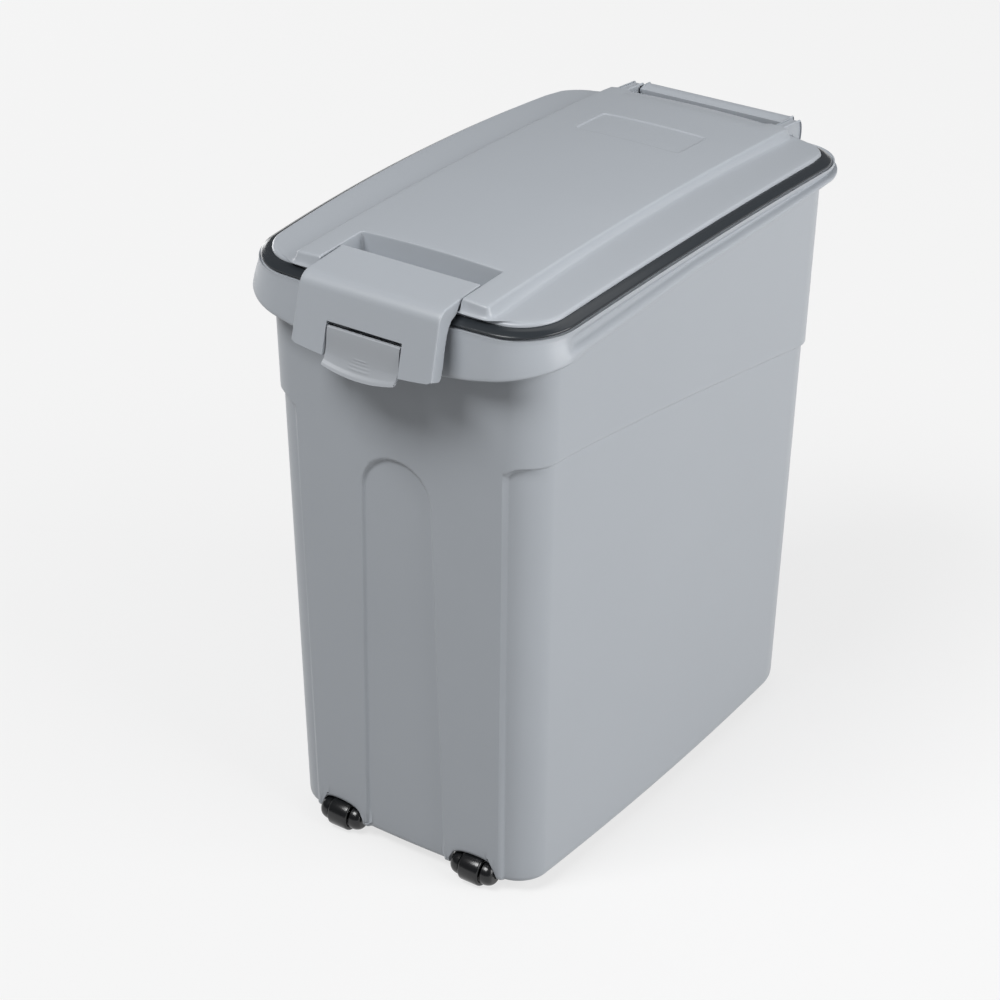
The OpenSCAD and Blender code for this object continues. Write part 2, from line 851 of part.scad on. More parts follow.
// side view of the flap's side flanges, which clear the rim and the gasket
module flange_view() {
    over_ring = -flap_pin_y - 12.5;
    intersection() {
        flap_outer(0);
        polygon([
            [face_y(flap_low_z - 2) + flange_in, flap_low_z - 2],
            [face_y(button_top_z) + flange_in - 0.5, button_top_z + 1.6],
            [lid_front - 8.8, body_top - 0.9], [lid_front - 4.2, body_top + 5.9],
            [over_ring, flap_top - flap_skin - 1], [over_ring, flap_top + 5],
            [-big, flap_top + 5], [-big, flap_low_z - 2]]);
    }
}

module latch_flap() {
    boss_in = button_half + button_gap + 0.5;
    boss_w = 5;
    color(plastic)
        placed()
            difference() {
                union() {
                    intersection() {
                        side_slab(-flap_half_low - 1, flap_half_low + 1)
                            difference() {
                                flap_outer(0);
                                flap_outer(flap_skin);
                            }
                        front_slab(-big, 0)
                            flap_front(0);
                    }
                    intersection() {
                        side_slab(-flap_half_low - 1, flap_half_low + 1)
                            flange_view();
                        front_slab(-big, 0)
                            difference() {
                                flap_front(0);
                                flap_front(flange_skin);
                            }
                    }
                    rod_x(barrel_r, 2 * (flap_half_top - 1.5), [0, -flap_pin_y, flap_pin_z]);
                    for (s = [-1, 1])
                        rod_x(3.2, boss_w, [s * (boss_in + boss_w / 2), button_pin_y, button_pin_z], fine_fn);
                }
                for (s = [-1, 1])
                    block([s * lug_x - lug_w / 2 - run_gap, -flap_pin_y - barrel_r - 1.6, flap_pin_z - 10],
                        [s * lug_x + lug_w / 2 + run_gap, -flap_pin_y + barrel_r + 1.6, flap_top - flap_skin]);
                block([-button_half - button_gap, -big, 0],
                    [button_half + button_gap, button_pin_y + 8, button_top_z + button_slot]);
                rod_x(flap_bore_r, 2 * flap_half_top, [0, -flap_pin_y, flap_pin_z], fine_fn);
                rod_x(button_bore_r, 2 * (boss_in + boss_w) + 1, [0, button_pin_y, button_pin_z], fine_fn);
            }
}

module latch_pin() {
    color(steel)
        placed()
            rod_x(flap_pin_d / 2, 2 * (flap_half_top - 2), [0, -flap_pin_y, flap_pin_z], fine_fn);
}

coil_r = button_pin_d / 2 + spring_wire / 2 + 0.3;

// side view of the button's plate: flat above, hollowed below and flared at its lip
module button_view() {
    scoop_r = 9;
    scoop_z = button_low_z + 8.6;
    difference() {
        intersection() {
            difference() {
                flap_outer(0);
                flap_outer(button_skin);
                intersection() {
                    flap_outer(flap_skin);
                    translate([-big, button_pin_z + 2.2])
                        square(big);
                }
            }
            translate([face_y(button_low_z) - eps, button_low_z])
                square([60, button_h]);
        }
        translate([face_y(scoop_z) - 6.8, scoop_z])
            circle(r = scoop_r, $fn = round_fn);
    }
}

module release_button() {
    rod_in = 6;
    color(plastic_dark)
        placed()
            difference() {
                union() {
                    side_slab(-button_half, button_half)
                        button_view();
                    for (s = [-1, 1])
                        rod_x(2.8, button_half - rod_in,
                            [s * (button_half + rod_in) / 2, button_pin_y, button_pin_z], fine_fn);
                    mirror_pair()
                        side_slab(hook_in, hook_out)
                            polygon([
                                [face_y(catch_z) + 3, catch_z + 1], [button_pin_y - 1, button_pin_z],
                                [button_pin_y + 1.6, catch_z + 2.4], [nose_y, catch_z - 0.6],
                                [nose_y, catch_z - 2.2], [nose_y - 3, catch_z - 5.5],
                                [face_y(catch_z - 7) + 3.2, catch_z - 7]]);
                }
                rod_x(button_bore_r, 2 * button_half + 2, [0, button_pin_y, button_pin_z], fine_fn);
                rod_x(coil_r + spring_wire / 2 + 0.4, 2 * rod_in - 2, [0, button_pin_y, button_pin_z], fine_fn);
            }
}

module button_pin() {
    color(steel)
        placed()
            rod_x(button_pin_d / 2, 2 * (button_half + button_gap + 5), [0, button_pin_y, button_pin_z], fine_fn);
}

module button_spring() {
    turns = 5;
    pitch = spring_wire * 1.2;
    reach = (turns - 1) / 2 * pitch;
    leg_r = spring_wire * 0.4;
    color(steel)
        placed() {
            for (i = [0:turns - 1])
                translate([i * pitch - reach, button_pin_y, button_pin_z])
                    rotate([0, 90, 0])
                        rotate_extrude($fn = fine_fn)
                            translate([coil_r, 0])
                                circle(r = spring_wire / 2, $fn = 16);
            translate([reach, button_pin_y + coil_r, button_pin_z - 0.4])
                rotate([1, 0, 0])
                    cylinder(r = leg_r, h = 10, $fn = 16);
            translate([-reach, button_pin_y + coil_r, button_pin_z + 0.4])
                rotate([166, 0, 0])
                    cylinder(r = leg_r, h = 6.5, $fn = 16);
        }
}

// ---- casters -------------------------------------------------------------------

// one housing with its wheel centre at the origin, open to the front
module housing_shape() {
    half = roller_w / 2 + run_gap / 2 + cheek_w;
    plate_top = floor_z - caster_z;
    plate_low = roller_r + 0.8;
    back = screw_reach + 5;
    difference() {
        union() {
            mirror_pair()
                side_slab(roller_w / 2 + run_gap / 2, half) {
                    circle(r = cheek_r, $fn = round_fn);
                    polygon([
                        [cheek_r, 0], [cheek_r, plate_top], [3.2, plate_top], [3.2, 0]]);
                }
            block([-half, 3.2, plate_low], [half, back, plate_top]);
        }
        rod_x(axle_bore_r, 2 * half + 2, [0, 0, 0], fine_fn);
        translate([0, screw_reach, 0])
            cylinder(r = 2.15, h = 40, $fn = fine_fn);
    }
}

module at_caster(sx, k) {
    placed()
        translate([sx * caster_x, k < 0 ? -caster_front_y : caster_rear_y, caster_z])
            mirror([0, k < 0 ? 0 : 1, 0])
                children();
}

module caster_housing(sx, k) {
    color(black)
        at_caster(sx, k)
            housing_shape();
}

module caster_roller(sx, k) {
    color(black)
        at_caster(sx, k)
            rotate([0, 90, 0])
                rotate_extrude($fn = round_fn)
                    difference() {
                        union() {
                            translate([axle_bore_r, -roller_w / 2])
                                square([roller_r - 2 - axle_bore_r, roller_w]);
                            translate([axle_bore_r, -roller_w / 2 + 2])
                                square([roller_r - axle_bore_r, roller_w - 4]);
                            for (s = [-1, 1])
                                translate([roller_r - 2, s * (roller_w / 2 - 2)])
                                    circle(r = 2, $fn = 24);
                        }
                        translate([-roller_r, -roller_w])
                            square([roller_r + axle_bore_r, 2 * roller_w]);
                    }
}

module caster_axle(sx, k) {
    half = roller_w / 2 + run_gap / 2 + cheek_w - 2;
    color(steel)
        at_caster(sx, k)
            rod_x(axle_d / 2, 2 * half, [0, 0, 0], fine_fn);
}

module caster_screws() {
    head_top = roller_r + 0.8 + caster_z;
    color(steel)
        placed()
            for (p = screw_places)
                translate([p.x, p.y, head_top]) {
                    translate([0, 0, -2.4])
                        cylinder(r = 3.6, h = 2.4, $fn = fine_fn);
                    translate([0, 0, -eps])
                        cylinder(r = 1.55, h = 11.5, $fn = fine_fn);
                }
}

module caster_housing_fl() { caster_housing(-1, -1); }
module caster_housing_fr() { caster_housing(1, -1); }
module caster_housing_rl() { caster_housing(-1, 1); }
module caster_housing_rr() { caster_housing(1, 1); }
module caster_roller_fl() { caster_roller(-1, -1); }
module caster_roller_fr() { caster_roller(1, -1); }
module caster_roller_rl() { caster_roller(-1, 1); }
module caster_roller_rr() { caster_roller(1, 1); }
module caster_axle_fl() { caster_axle(-1, -1); }
module caster_axle_fr() { caster_axle(1, -1); }
module caster_axle_rl() { caster_axle(-1, 1); }
module caster_axle_rr() { caster_axle(1, 1); }

bin_body();
lid();
lid_gasket();
hinge_pin();
latch_flap();
latch_pin();
release_button();
button_pin();
button_spring();
caster_housing_fl();
caster_housing_fr();
caster_housing_rl();
caster_housing_rr();
caster_roller_fl();
caster_roller_fr();
caster_roller_rl();
caster_roller_rr();
caster_axle_fl();
caster_axle_fr();
caster_axle_rl();
caster_axle_rr();
caster_screws();
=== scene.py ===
"""Rice bin with a flip lid: the dressed surfaces of a tapered bin with a hinged, sealed lid,
a front latch with its own release button, and four small casters.

Lengths in the formulas are millimetres in the bin's own frame: X to the right, Y to the back,
Z up from the foot's edge, with the middle of the body at X = Y = 0. in_frame() turns them into
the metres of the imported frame.
"""
from types import SimpleNamespace

import bpy
import numpy as np
from bpy.props import FloatProperty, FloatVectorProperty, PointerProperty
from bpy.types import Operator, Panel, PropertyGroup
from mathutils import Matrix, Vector


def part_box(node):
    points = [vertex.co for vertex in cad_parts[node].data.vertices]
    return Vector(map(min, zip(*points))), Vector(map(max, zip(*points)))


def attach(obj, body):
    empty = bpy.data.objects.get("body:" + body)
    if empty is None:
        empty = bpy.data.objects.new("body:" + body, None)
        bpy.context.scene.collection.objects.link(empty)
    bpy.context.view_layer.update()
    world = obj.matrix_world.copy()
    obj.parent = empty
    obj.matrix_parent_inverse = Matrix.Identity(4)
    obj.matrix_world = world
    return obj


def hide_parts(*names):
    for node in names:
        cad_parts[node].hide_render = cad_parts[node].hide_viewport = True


bl_info = {
    "name": "Rice bin with flip lid",
    "version": (1, 0, 0),
    "blender": (4, 5, 0),
    "location": "View3D > Sidebar > Rice Bin",
    "description": "Builds the surfaces, finishes and studio of a rice bin with a flip lid",
    "category": "Object",
}

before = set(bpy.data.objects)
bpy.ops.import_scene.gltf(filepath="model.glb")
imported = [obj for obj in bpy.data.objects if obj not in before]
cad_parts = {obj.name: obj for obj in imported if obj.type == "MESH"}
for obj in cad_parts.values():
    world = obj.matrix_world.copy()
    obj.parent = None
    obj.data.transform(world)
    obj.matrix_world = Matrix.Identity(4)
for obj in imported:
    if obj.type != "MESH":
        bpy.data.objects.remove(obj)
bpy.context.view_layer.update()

MM = 0.001
# the hinge pin's place in the bin's own frame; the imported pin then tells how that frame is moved
HINGE_Y, HINGE_Z = 177.0, 377.3
pin_low, pin_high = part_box("hinge_pin")
SHIFT_Y = (pin_low.y + pin_high.y) / 2 / MM - HINGE_Y
LIFT = (pin_low.z + pin_high.z) / 2 / MM - HINGE_Z
# radius of the small bevel on a mould's sharp edges, and the angle from which an edge counts as sharp
SOFT_EDGE, SHARP_FROM = 0.3, 40.0


# ---- sizes and colours that a user would change ---------------------------------------


def length(name, description, mm):
    """A length property, kept in metres and given here in millimetres."""
    return FloatProperty(name=name, description=description, default=mm * MM, unit="LENGTH", precision=4)


def shade(name, description, code):
    """A colour property given as an sRGB hex value."""
    return FloatVectorProperty(name=name, description=description, default=linear(code), subtype="COLOR",
                               size=3, min=0.0, max=1.0)


def linear(code):
    """The linear values of an sRGB hex colour."""
    part = np.array([int(code[k:k + 2], 16) for k in (1, 3, 5)]) / 255.0
    return tuple(np.where(part <= 0.04045, part / 12.92, ((part + 0.055) / 1.055) ** 2.4).tolist())


def in_mm(group):
    """The lengths of a property group, in millimetres, under their own names."""
    return SimpleNamespace(**{k: getattr(group, k) / MM for k in group.__annotations__})


class BinSizes(PropertyGroup):
    """Sizes of the bin's body and rim."""

    foot_w: length("Foot width", "Width of the foot at its corners", 176.7)
    foot_d: length("Foot depth", "Depth of the foot at its corners", 320.0)
    height: length("Height", "Height from the foot's edge to the ends of the rim", 374.3)
    wall: length("Wall", "Thickness of the wall", 2.5)
    bulge: length("Bulge", "Bulge of each wall past its corners", 4.6)
    corner_front: length("Front corners", "Radius of the front corners", 18.0)
    corner_rear: length("Rear corners", "Radius of the rear corners", 36.0)
    step_out: length("Step", "How far the upper band stands proud", 2.2)
    step_front: length("Step at the front", "Height of the step line at the front corners", 290.0)
    step_rear: length("Step at the back", "Height of the step line at the back", 250.0)
    step_corner: length("Step corner", "Radius of the step line's corner over each recess", 11.0)
    arch_half: length("Arch half width", "Half width of the front arch at its spring line", 24.4)
    arch_foot: length("Arch foot", "Half width of the front arch at the foot", 29.5)
    arch_crown: length("Arch crown", "Height of the front arch's crown", 272.0)
    skirt_flare: length("Front flare", "Outward flare of the skirt round the front", 4.2)
    side_flare: length("Side flare", "Outward flare of the skirt's lip along the sides", 2.6)
    skirt_wall: length("Skirt wall", "Thickness of the skirt", 2.2)
    skirt_front: length("Skirt at the front", "Depth of the skirt below the rim at the front", 33.3)
    skirt_side: length("Skirt at the sides", "Depth of the skirt below the rim along the sides", 6.0)


class LidSizes(PropertyGroup):
    """Sizes of the lid and its sealing ring."""

    width: length("Width", "Width of the lid at its corners", 195.3)
    depth: length("Depth", "Depth of the lid at its corners", 328.7)
    corner: length("Corners", "Radius of the lid's corners", 24.0)
    bulge: length("Bulge", "Bulge of the lid's edges past its corners", 4.4)
    rise: length("Rise", "Rise of the lid from its ends to its middle", 5.9)
    skin: length("Skin", "Thickness of the lid's skin", 2.3)
    panel_half: length("Panel half width", "Half width of the raised panel", 66.5)
    panel_edge: length("Panel edge", "Width of the raised panel's rounded brow", 1.8)
    pocket_half: length("Pocket half width", "Half width of the latch pocket", 48.9)
    recess_w: length("Recess width", "Width of the plain recess", 75.0)
    recess_l: length("Recess length", "Length of the plain recess", 34.0)
    recess_deep: length("Recess depth", "Depth of the plain recess", 0.6)
    ring_out: length("Ring reach", "How far the sealing ring shows past the lid's edge", 7.4)
    ring_in: length("Ring root", "How far the sealing ring reaches under the lid", 3.7)
    ring_h: length("Ring height", "Height of the sealing ring", 4.0)


class LatchSizes(PropertyGroup):
    """Sizes of the latch flap and its release button."""

    half_top: length("Half width above", "Half width of the flap at its top", 48.1)
    half_low: length("Half width below", "Half width of the flap at its lower edge", 48.9)
    skin: length("Skin", "Thickness of the flap's skin", 2.5)
    bend: length("Bend", "Radius of the bend from the flap's top to its face", 9.5)
    low: length("Lower edge", "Depth of the flap's lower edge below the rim at its middle", 30.3)
    low_bow: length("Lower edge bow", "Rise of the lower edge from its middle to its ends", 3.3)
    button_half: length("Button half width", "Half width of the release button", 25.1)
    button_drop: length("Button top", "Depth of the button's top edge below the rim", 12.8)
    button_h: length("Button height", "Height of the button from lip to top edge", 21.1)
    lip_bow: length("Lip bow", "How far the button's lip bows down at its middle", 3.2)
    scoop: length("Scoop", "How far the button's plate sinks behind the flap's face", 1.7)
    button_skin: length("Button plate", "Thickness of the button's plate", 3.2)
    button_gap: length("Button gap", "Clearance between the button and the flap", 0.7)
    button_slot: length("Button slot", "Gap above the button", 2.7)


class Finishes(PropertyGroup):
    """Colours of the mouldings and the studio."""

    shell: shade("Shell", "Satin moulded polypropylene of the bin, lid and flap", "#a6abb1")
    button: shade("Button", "Satin moulded polypropylene of the release button", "#9fa3a8")
    ring: shade("Sealing ring", "Glossy silicone of the sealing ring", "#2d3135")
    caster: shade("Casters", "Glossy black nylon of the casters", "#141517")
    floor: shade("Floor", "Plain pale floor and background", "#f5f5f5")


# ---- from millimetres to meshes --------------------------------------------------------


def in_frame(points):
    """Points in the bin's millimetres, moved to the frame's metres."""
    return (np.asarray(points, float) + (0.0, SHIFT_Y, LIFT)) * MM


def quads(index, closed_rows=False, closed_columns=False):
    """The faces of a grid of point numbers: each joins a point to its next in both directions."""
    rows = [index, index[:1]] if closed_rows else [index]
    grid = np.concatenate(rows, 0)
    if closed_columns:
        grid = np.concatenate([grid, grid[:, :1]], 1)
    a, b, c, d = grid[:-1, :-1], grid[:-1, 1:], grid[1:, 1:], grid[1:, :-1]
    return np.stack([a, b, c, d], -1).reshape(-1, 4)


def fan(loop, middle):
    """Triangles from a closed loop of point numbers to one middle point."""
    return np.stack([loop, np.roll(loop, -1), np.full(len(loop), middle)], 1)


def signed_volume(points, faces):
    """Sum of the tetrahedra from the origin to every triangle of every face."""
    total = 0.0
    for block in faces:
        corner = points[np.asarray(block)]
        for k in range(1, corner.shape[1] - 1):
            total += np.einsum("ij,ij->", corner[:, 0], np.cross(corner[:, k], corner[:, k + 1]))
    return total / 6


def make_piece(name, points, faces, finish, body, stands_for=(), crease=35.0):
    """A closed mesh from points in millimetres and blocks of faces, with its faces turned outwards,
    smooth except where two faces meet at more than crease degrees."""
    points = in_frame(points)
    if signed_volume(points, faces) < 0:
        faces = [np.asarray(block)[:, ::-1] for block in faces]
    mesh = bpy.data.meshes.new(name)
    mesh.from_pydata(points.tolist(), [], [f for block in faces for f in np.asarray(block).tolist()])
    mesh.validate()
    mesh.shade_smooth()
    mesh.set_sharp_from_angle(angle=np.radians(crease))
    piece = bpy.data.objects.new(name, mesh)
    bpy.context.collection.objects.link(piece)
    mesh.materials.append(finish)
    if stands_for:
        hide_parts(*stands_for)
    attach(piece, body)
    return piece


def soften(piece):
    """A small bevel on every sharp edge, as a mould's edges have."""
    bevel = piece.modifiers.new("Soft edges", "BEVEL")
    bevel.width = SOFT_EDGE * MM
    bevel.segments = 2
    bevel.limit_method = "ANGLE"
    bevel.angle_limit = np.radians(SHARP_FROM)


def ease(t):
    """The smooth step from 0 to 1: three t squared less two t cubed."""
    t = np.clip(t, 0.0, 1.0)
    return t * t * (3 - 2 * t)


def edge_drop(inset, radius):
    """Fall of a quarter-round edge whose outer limit is at inset 0."""
    t = np.clip(inset, 0, radius)
    return radius - np.sqrt(np.maximum(radius ** 2 - (radius - t) ** 2, 0))


def spread(*runs):
    """Numbers from joined runs of (start, end, step), each with equal steps near the one asked for."""
    out = []
    for start, end, step in runs:
        count = max(int(round((end - start) / step)), 1)
        out.append(np.linspace(start, end, count, endpoint=False))
    return np.append(np.concatenate(out), runs[-1][1])


# ---- outlines --------------------------------------------------------------------------

SIGN_X = np.array([-1.0, 1.0, 1.0, -1.0])
SIGN_Y = np.array([-1.0, -1.0, 1.0, 1.0])


def rounded_outline(columns, width, depth, r_front, r_rear, bulge):
    """A rounded rectangle, bulged. Each column lies between two corner centres, a share of the way
    from the one to the other, and a corner radius away in its own direction. The bulge then moves
    x by bulge u (1 - v squared) and y by bulge v (1 - u squared), with u, v the point's place from
    -1 to 1 across the width and the depth."""
    start, end, share, angle = columns

    def centre(k):
        radius = np.where(SIGN_Y[k] < 0, r_front, r_rear)
        return SIGN_X[k] * (width / 2 - radius), SIGN_Y[k] * (depth / 2 - radius), radius

    xa, ya, ra = centre(start)
    xb, yb, rb = centre(end)
    radius = ra + (rb - ra) * share
    x = xa + (xb - xa) * share + radius * np.cos(angle)
    y = ya + (yb - ya) * share + radius * np.sin(angle)
    u, v = 2 * x / width, 2 * y / depth
    return x + bulge * u * (1 - v * v), y + bulge * v * (1 - u * u)


def outline_columns(front, side, rear, corner_front, corner_rear):
    """Columns counter-clockwise from the front left corner. front, side and rear are shares along the
    straight stretches, and the corners are angles from 0 to 90 degrees."""
    start, end, share, angle = [], [], [], []

    def straight(a, b, shares, facing):
        start.append(np.full(len(shares), a))
        end.append(np.full(len(shares), b))
        share.append(shares)
        angle.append(np.full(len(shares), np.radians(facing)))

    def corner(k, turns, facing):
        inner = turns[1:-1]
        start.append(np.full(len(inner), k))
        end.append(np.full(len(inner), k))
        share.append(np.zeros(len(inner)))
        angle.append(np.radians(facing + inner))

    straight(0, 1, front, -90)
    corner(1, corner_front, -90)
    straight(1, 2, side, 0)
    corner(2, corner_rear, 0)
    straight(2, 3, rear, 90)
    corner(3, 90 - corner_rear[::-1], 90)
    straight(3, 0, 1 - side[::-1], 180)
    corner(0, 90 - corner_front[::-1], 180)
    return (np.concatenate(start).astype(int), np.concatenate(end).astype(int),
            np.concatenate(share), np.concatenate(angle))


# the lid's ends at its corners, in the bin's frame
LID_FRONT_Y, LID_REAR_Y = -171.41, 157.29
LID_MIDDLE_Y = (LID_FRONT_Y + LID_REAR_Y) / 2


def lid_outline(columns, lid, off):
    """The lid's outline, moved outwards by off."""
    x, y = rounded_outline(columns, lid.width + 2 * off, lid.depth + 2 * off, lid.corner + off,
                           lid.corner + off, lid.bulge)
    return x, y + LID_MIDDLE_Y


def lid_arch(y, lid):
    """Rise of the lid and the rim above their ends: a parabola along the depth."""
    return lid.rise * (1 - ((y - LID_MIDDLE_Y) / (lid.depth / 2)) ** 2)


# ---- bin body ----------------------------------------------------------------------------

# the walls' outward lean as a share of their height, and the height of the floor's underside
DRAFT, FLOOR_Z = 0.0188, 15.0
# the step line along the sides: where its fall starts and ends, and the power of the fall
STEP_FRONT_Y, STEP_REAR_Y, STEP_CURVE = -144.0, 150.0, 1.4
# the outer edges of the strips beside the arch: half width at the foot and at the step line
STRIP_HALF_FOOT, STRIP_HALF_TOP = 71.0, 74.5
# the front wall lies in front of the first of these, the arch of the second, the strips of the third
FRONT_WALL_Y, ARCH_ENDS_Y, STRIPS_END_Y = -130.0, -100.0, -60.0
# width of the ramp between a recess and the raised band
STEP_RAMP = 2.0
# half width of the front's columns at the top
FRONT_COLUMNS = 75.4
# the opening over each front caster: half width, height, power of its outline, and the height above
# the foot at which the wall's rows are level again
GAP_HALF, GAP_TOP, GAP_POWER, GAP_FADE = 16.9, 11.8, 2.7, 60.0
# how far the rim reaches in under the sealing ring, its inner chamfer, and the gutter's width
RIM_REACH, RIM_CHAMFER, GUTTER = 5.2, 0.7, 1.1
# the skirt's lower edge: the share of its climb made across the front, and its slope along the sides
SCALLOP_SHARE, SCALLOP_SLOPE = 0.62, 0.078
# the skirt's front form changes to its side form behind this Y, over this length
SIDE_FROM, SIDE_BLEND = -157.0, 12.0
# the skirt's bead, its hollow along the sides, the radius of its lip, and how much less it flares
# behind the latch
BEAD, HOLLOW, LIP_R, LATCH_RELIEF = 0.2, 1.8, 1.1, 1.2
# the spaces in the beam that the lid's ears turn in: their X from and to, and their radius
EAR_SPACE_IN, EAR_SPACE_OUT, EAR_SPACE_R = 54.0, 63.2, 8.8


def step_height(y, size):
    """Height of the step line: level at the front, falling to the back as a power of the way there."""
    way = np.clip((y - STEP_FRONT_Y) / (STEP_REAR_Y - STEP_FRONT_Y), 0, 1)
    return size.step_rear + (size.step_front - size.step_rear) * (1 - way ** STEP_CURVE)


def step_share(x, y, z, size):
    """How much of the step's height a point has, from 0 in a recess to 1 on the raised band. It eases
    over the signed distance to the nearest border: the front arch, which is a straight-sided arch with
    a half-round crown, or the side recess, a quarter plane under the step line and outside the strip,
    with a round corner."""
    far = 60.0
    crown_z = size.arch_crown - size.arch_half
    half = size.arch_half + (size.arch_foot - size.arch_half) * np.clip((crown_z - z) / crown_z, 0, 1)
    in_arch = np.where(z < crown_z, np.abs(x) - half, np.hypot(x, z - crown_z) - size.arch_half)
    arch = np.where(y < ARCH_ENDS_Y, ease(0.5 + in_arch / STEP_RAMP), 1.0)
    strip = STRIP_HALF_FOOT + (STRIP_HALF_TOP - STRIP_HALF_FOOT) * z / size.step_front
    beside = np.where(y < STRIPS_END_Y, np.abs(x) - strip, far)
    under = step_height(y, size) - z
    r = size.step_corner
    a, b = r - beside, r - under
    border = np.hypot(np.maximum(a, 0), np.maximum(b, 0)) + np.minimum(np.maximum(a, b), 0) - r
    return arch * ease(0.5 + border / STEP_RAMP)


def skirt_low(x, y, size, lid):
    """Height of the skirt's lower edge: a scallop, deepest at the middle of the front, that climbs with
    the square of x to the corners and then along the sides to a level stretch."""
    front, side = size.height - size.skirt_front, size.height - size.skirt_side
    corner_bulge = 1.95
    half = lid.width / 2 + lid.ring_out + corner_bulge
    start_y = LID_FRONT_Y + lid.ring_out
    climb = (side - front) * SCALLOP_SHARE * np.minimum(np.abs(x) / half, 1) ** 2
    climb = climb + SCALLOP_SLOPE * np.maximum(y - start_y, 0)
    return np.minimum(front + climb, side)


def wheel_gap(x, y):
    """Height of the foot's edge: raised over each front caster to a round-shouldered arch. With across
    from 0 at the caster's middle to 1, and p the power, it is the top times (1 - across to the p) to
    one over p."""
    across = np.clip(np.abs(np.abs(x) - CASTER_X) / GAP_HALF, 0, 1)
    return np.where(y < FRONT_WALL_Y, GAP_TOP * (1 - across ** GAP_POWER) ** (1 / GAP_POWER), 0.0)


def body_columns():
    """Columns of the bin: close together at the arch's sides and crown, at the strips' outer edges and
    round the front corners."""
    half = np.array(spread((0, 20, 1.6), (20, 29, 0.6), (29, 42, 0.9), (42, 58, 2.2), (58, 67, 0.9),
                           (67, FRONT_COLUMNS, 0.55)))
    x = np.concatenate([-half[::-1], half[1:]])
    side = spread((0, 0.06, 0.02), (0.06, 1, 0.035))
    corner = spread((0, 14, 1.75), (14, 90, 3.8))
    return x, outline_columns(np.zeros(len(x)), side, spread((0, 1, 0.06)), corner, spread((0, 90, 3.5)))


def body_ring(columns, x_front, z, off, size):
    """Points of the bin's wall at heights z: the foot's outline, grown by the draft and off. Columns of
    the front stretch keep their own x, spread so that those at the arch's sides follow its taper."""
    z = np.broadcast_to(np.asarray(z, float), np.broadcast_shapes(np.shape(z), columns[2].shape))
    grow = DRAFT * z
    tangent = size.foot_w / 2 + grow - size.corner_front
    share = np.broadcast_to(columns[2], z.shape).copy()
    n = len(x_front)
    crown_z = size.arch_crown - size.arch_half
    arch_shift = (size.arch_foot - size.arch_half) * np.clip((crown_z - z[..., :n]) / crown_z, 0, 1)
    reach = np.abs(x_front)
    near_arch = np.interp(reach, [0, 20, 29, 60], [0, 1, 1, 0])
    x = np.sign(x_front) * (reach + near_arch * arch_shift)
    x = np.clip(x * tangent[..., :n] / tangent[..., :n].max(), -tangent[..., :n], tangent[..., :n])
    share[..., :n] = 0.5 + x / (2 * tangent[..., :n])
    cols = (columns[0], columns[1], share, columns[3])
    return rounded_outline(cols, size.foot_w + 2 * (grow + off), size.foot_d + 2 * (grow + off),
                           size.corner_front + off, size.corner_rear + off, size.bulge)


def clear_of_ears(x, y, z):
    """Moves points out of the round spaces that the lid's ears turn in: straight away from the pin to
    the space's radius."""
    dy, dz = y - HINGE_Y, z - HINGE_Z
    away = np.maximum(np.hypot(dy, dz), 1e-6)
    inside = (np.abs(x) > EAR_SPACE_IN) & (np.abs(x) < EAR_SPACE_OUT) & (away < EAR_SPACE_R)
    scale = np.where(inside, EAR_SPACE_R / away, 1.0)
    return x, HINGE_Y + dy * scale, HINGE_Z + dz * scale


def skirt_reach(way, x, along, size):
    """How far the skirt stands past the rim, a share way of its depth down. Round the front it leaves
    the bead and bows out by the flare, seven tenths of it evenly and three tenths as the sine of a
    quarter turn. Along the sides it draws in to a hollow band and then steps out to the lip. along
    blends the one into the other."""
    bowed = size.skirt_flare - LATCH_RELIEF * ease((65 - np.abs(x)) / 20)
    front = BEAD * (1 - ease(4 * way)) + bowed * (0.7 * way + 0.3 * np.sin(np.pi / 2 * way))
    side = BEAD - (BEAD + HOLLOW) * ease(way / 0.3) + (HOLLOW + size.side_flare) * ease((way - 0.5) / 0.34)
    return front * (1 - along) + side * along


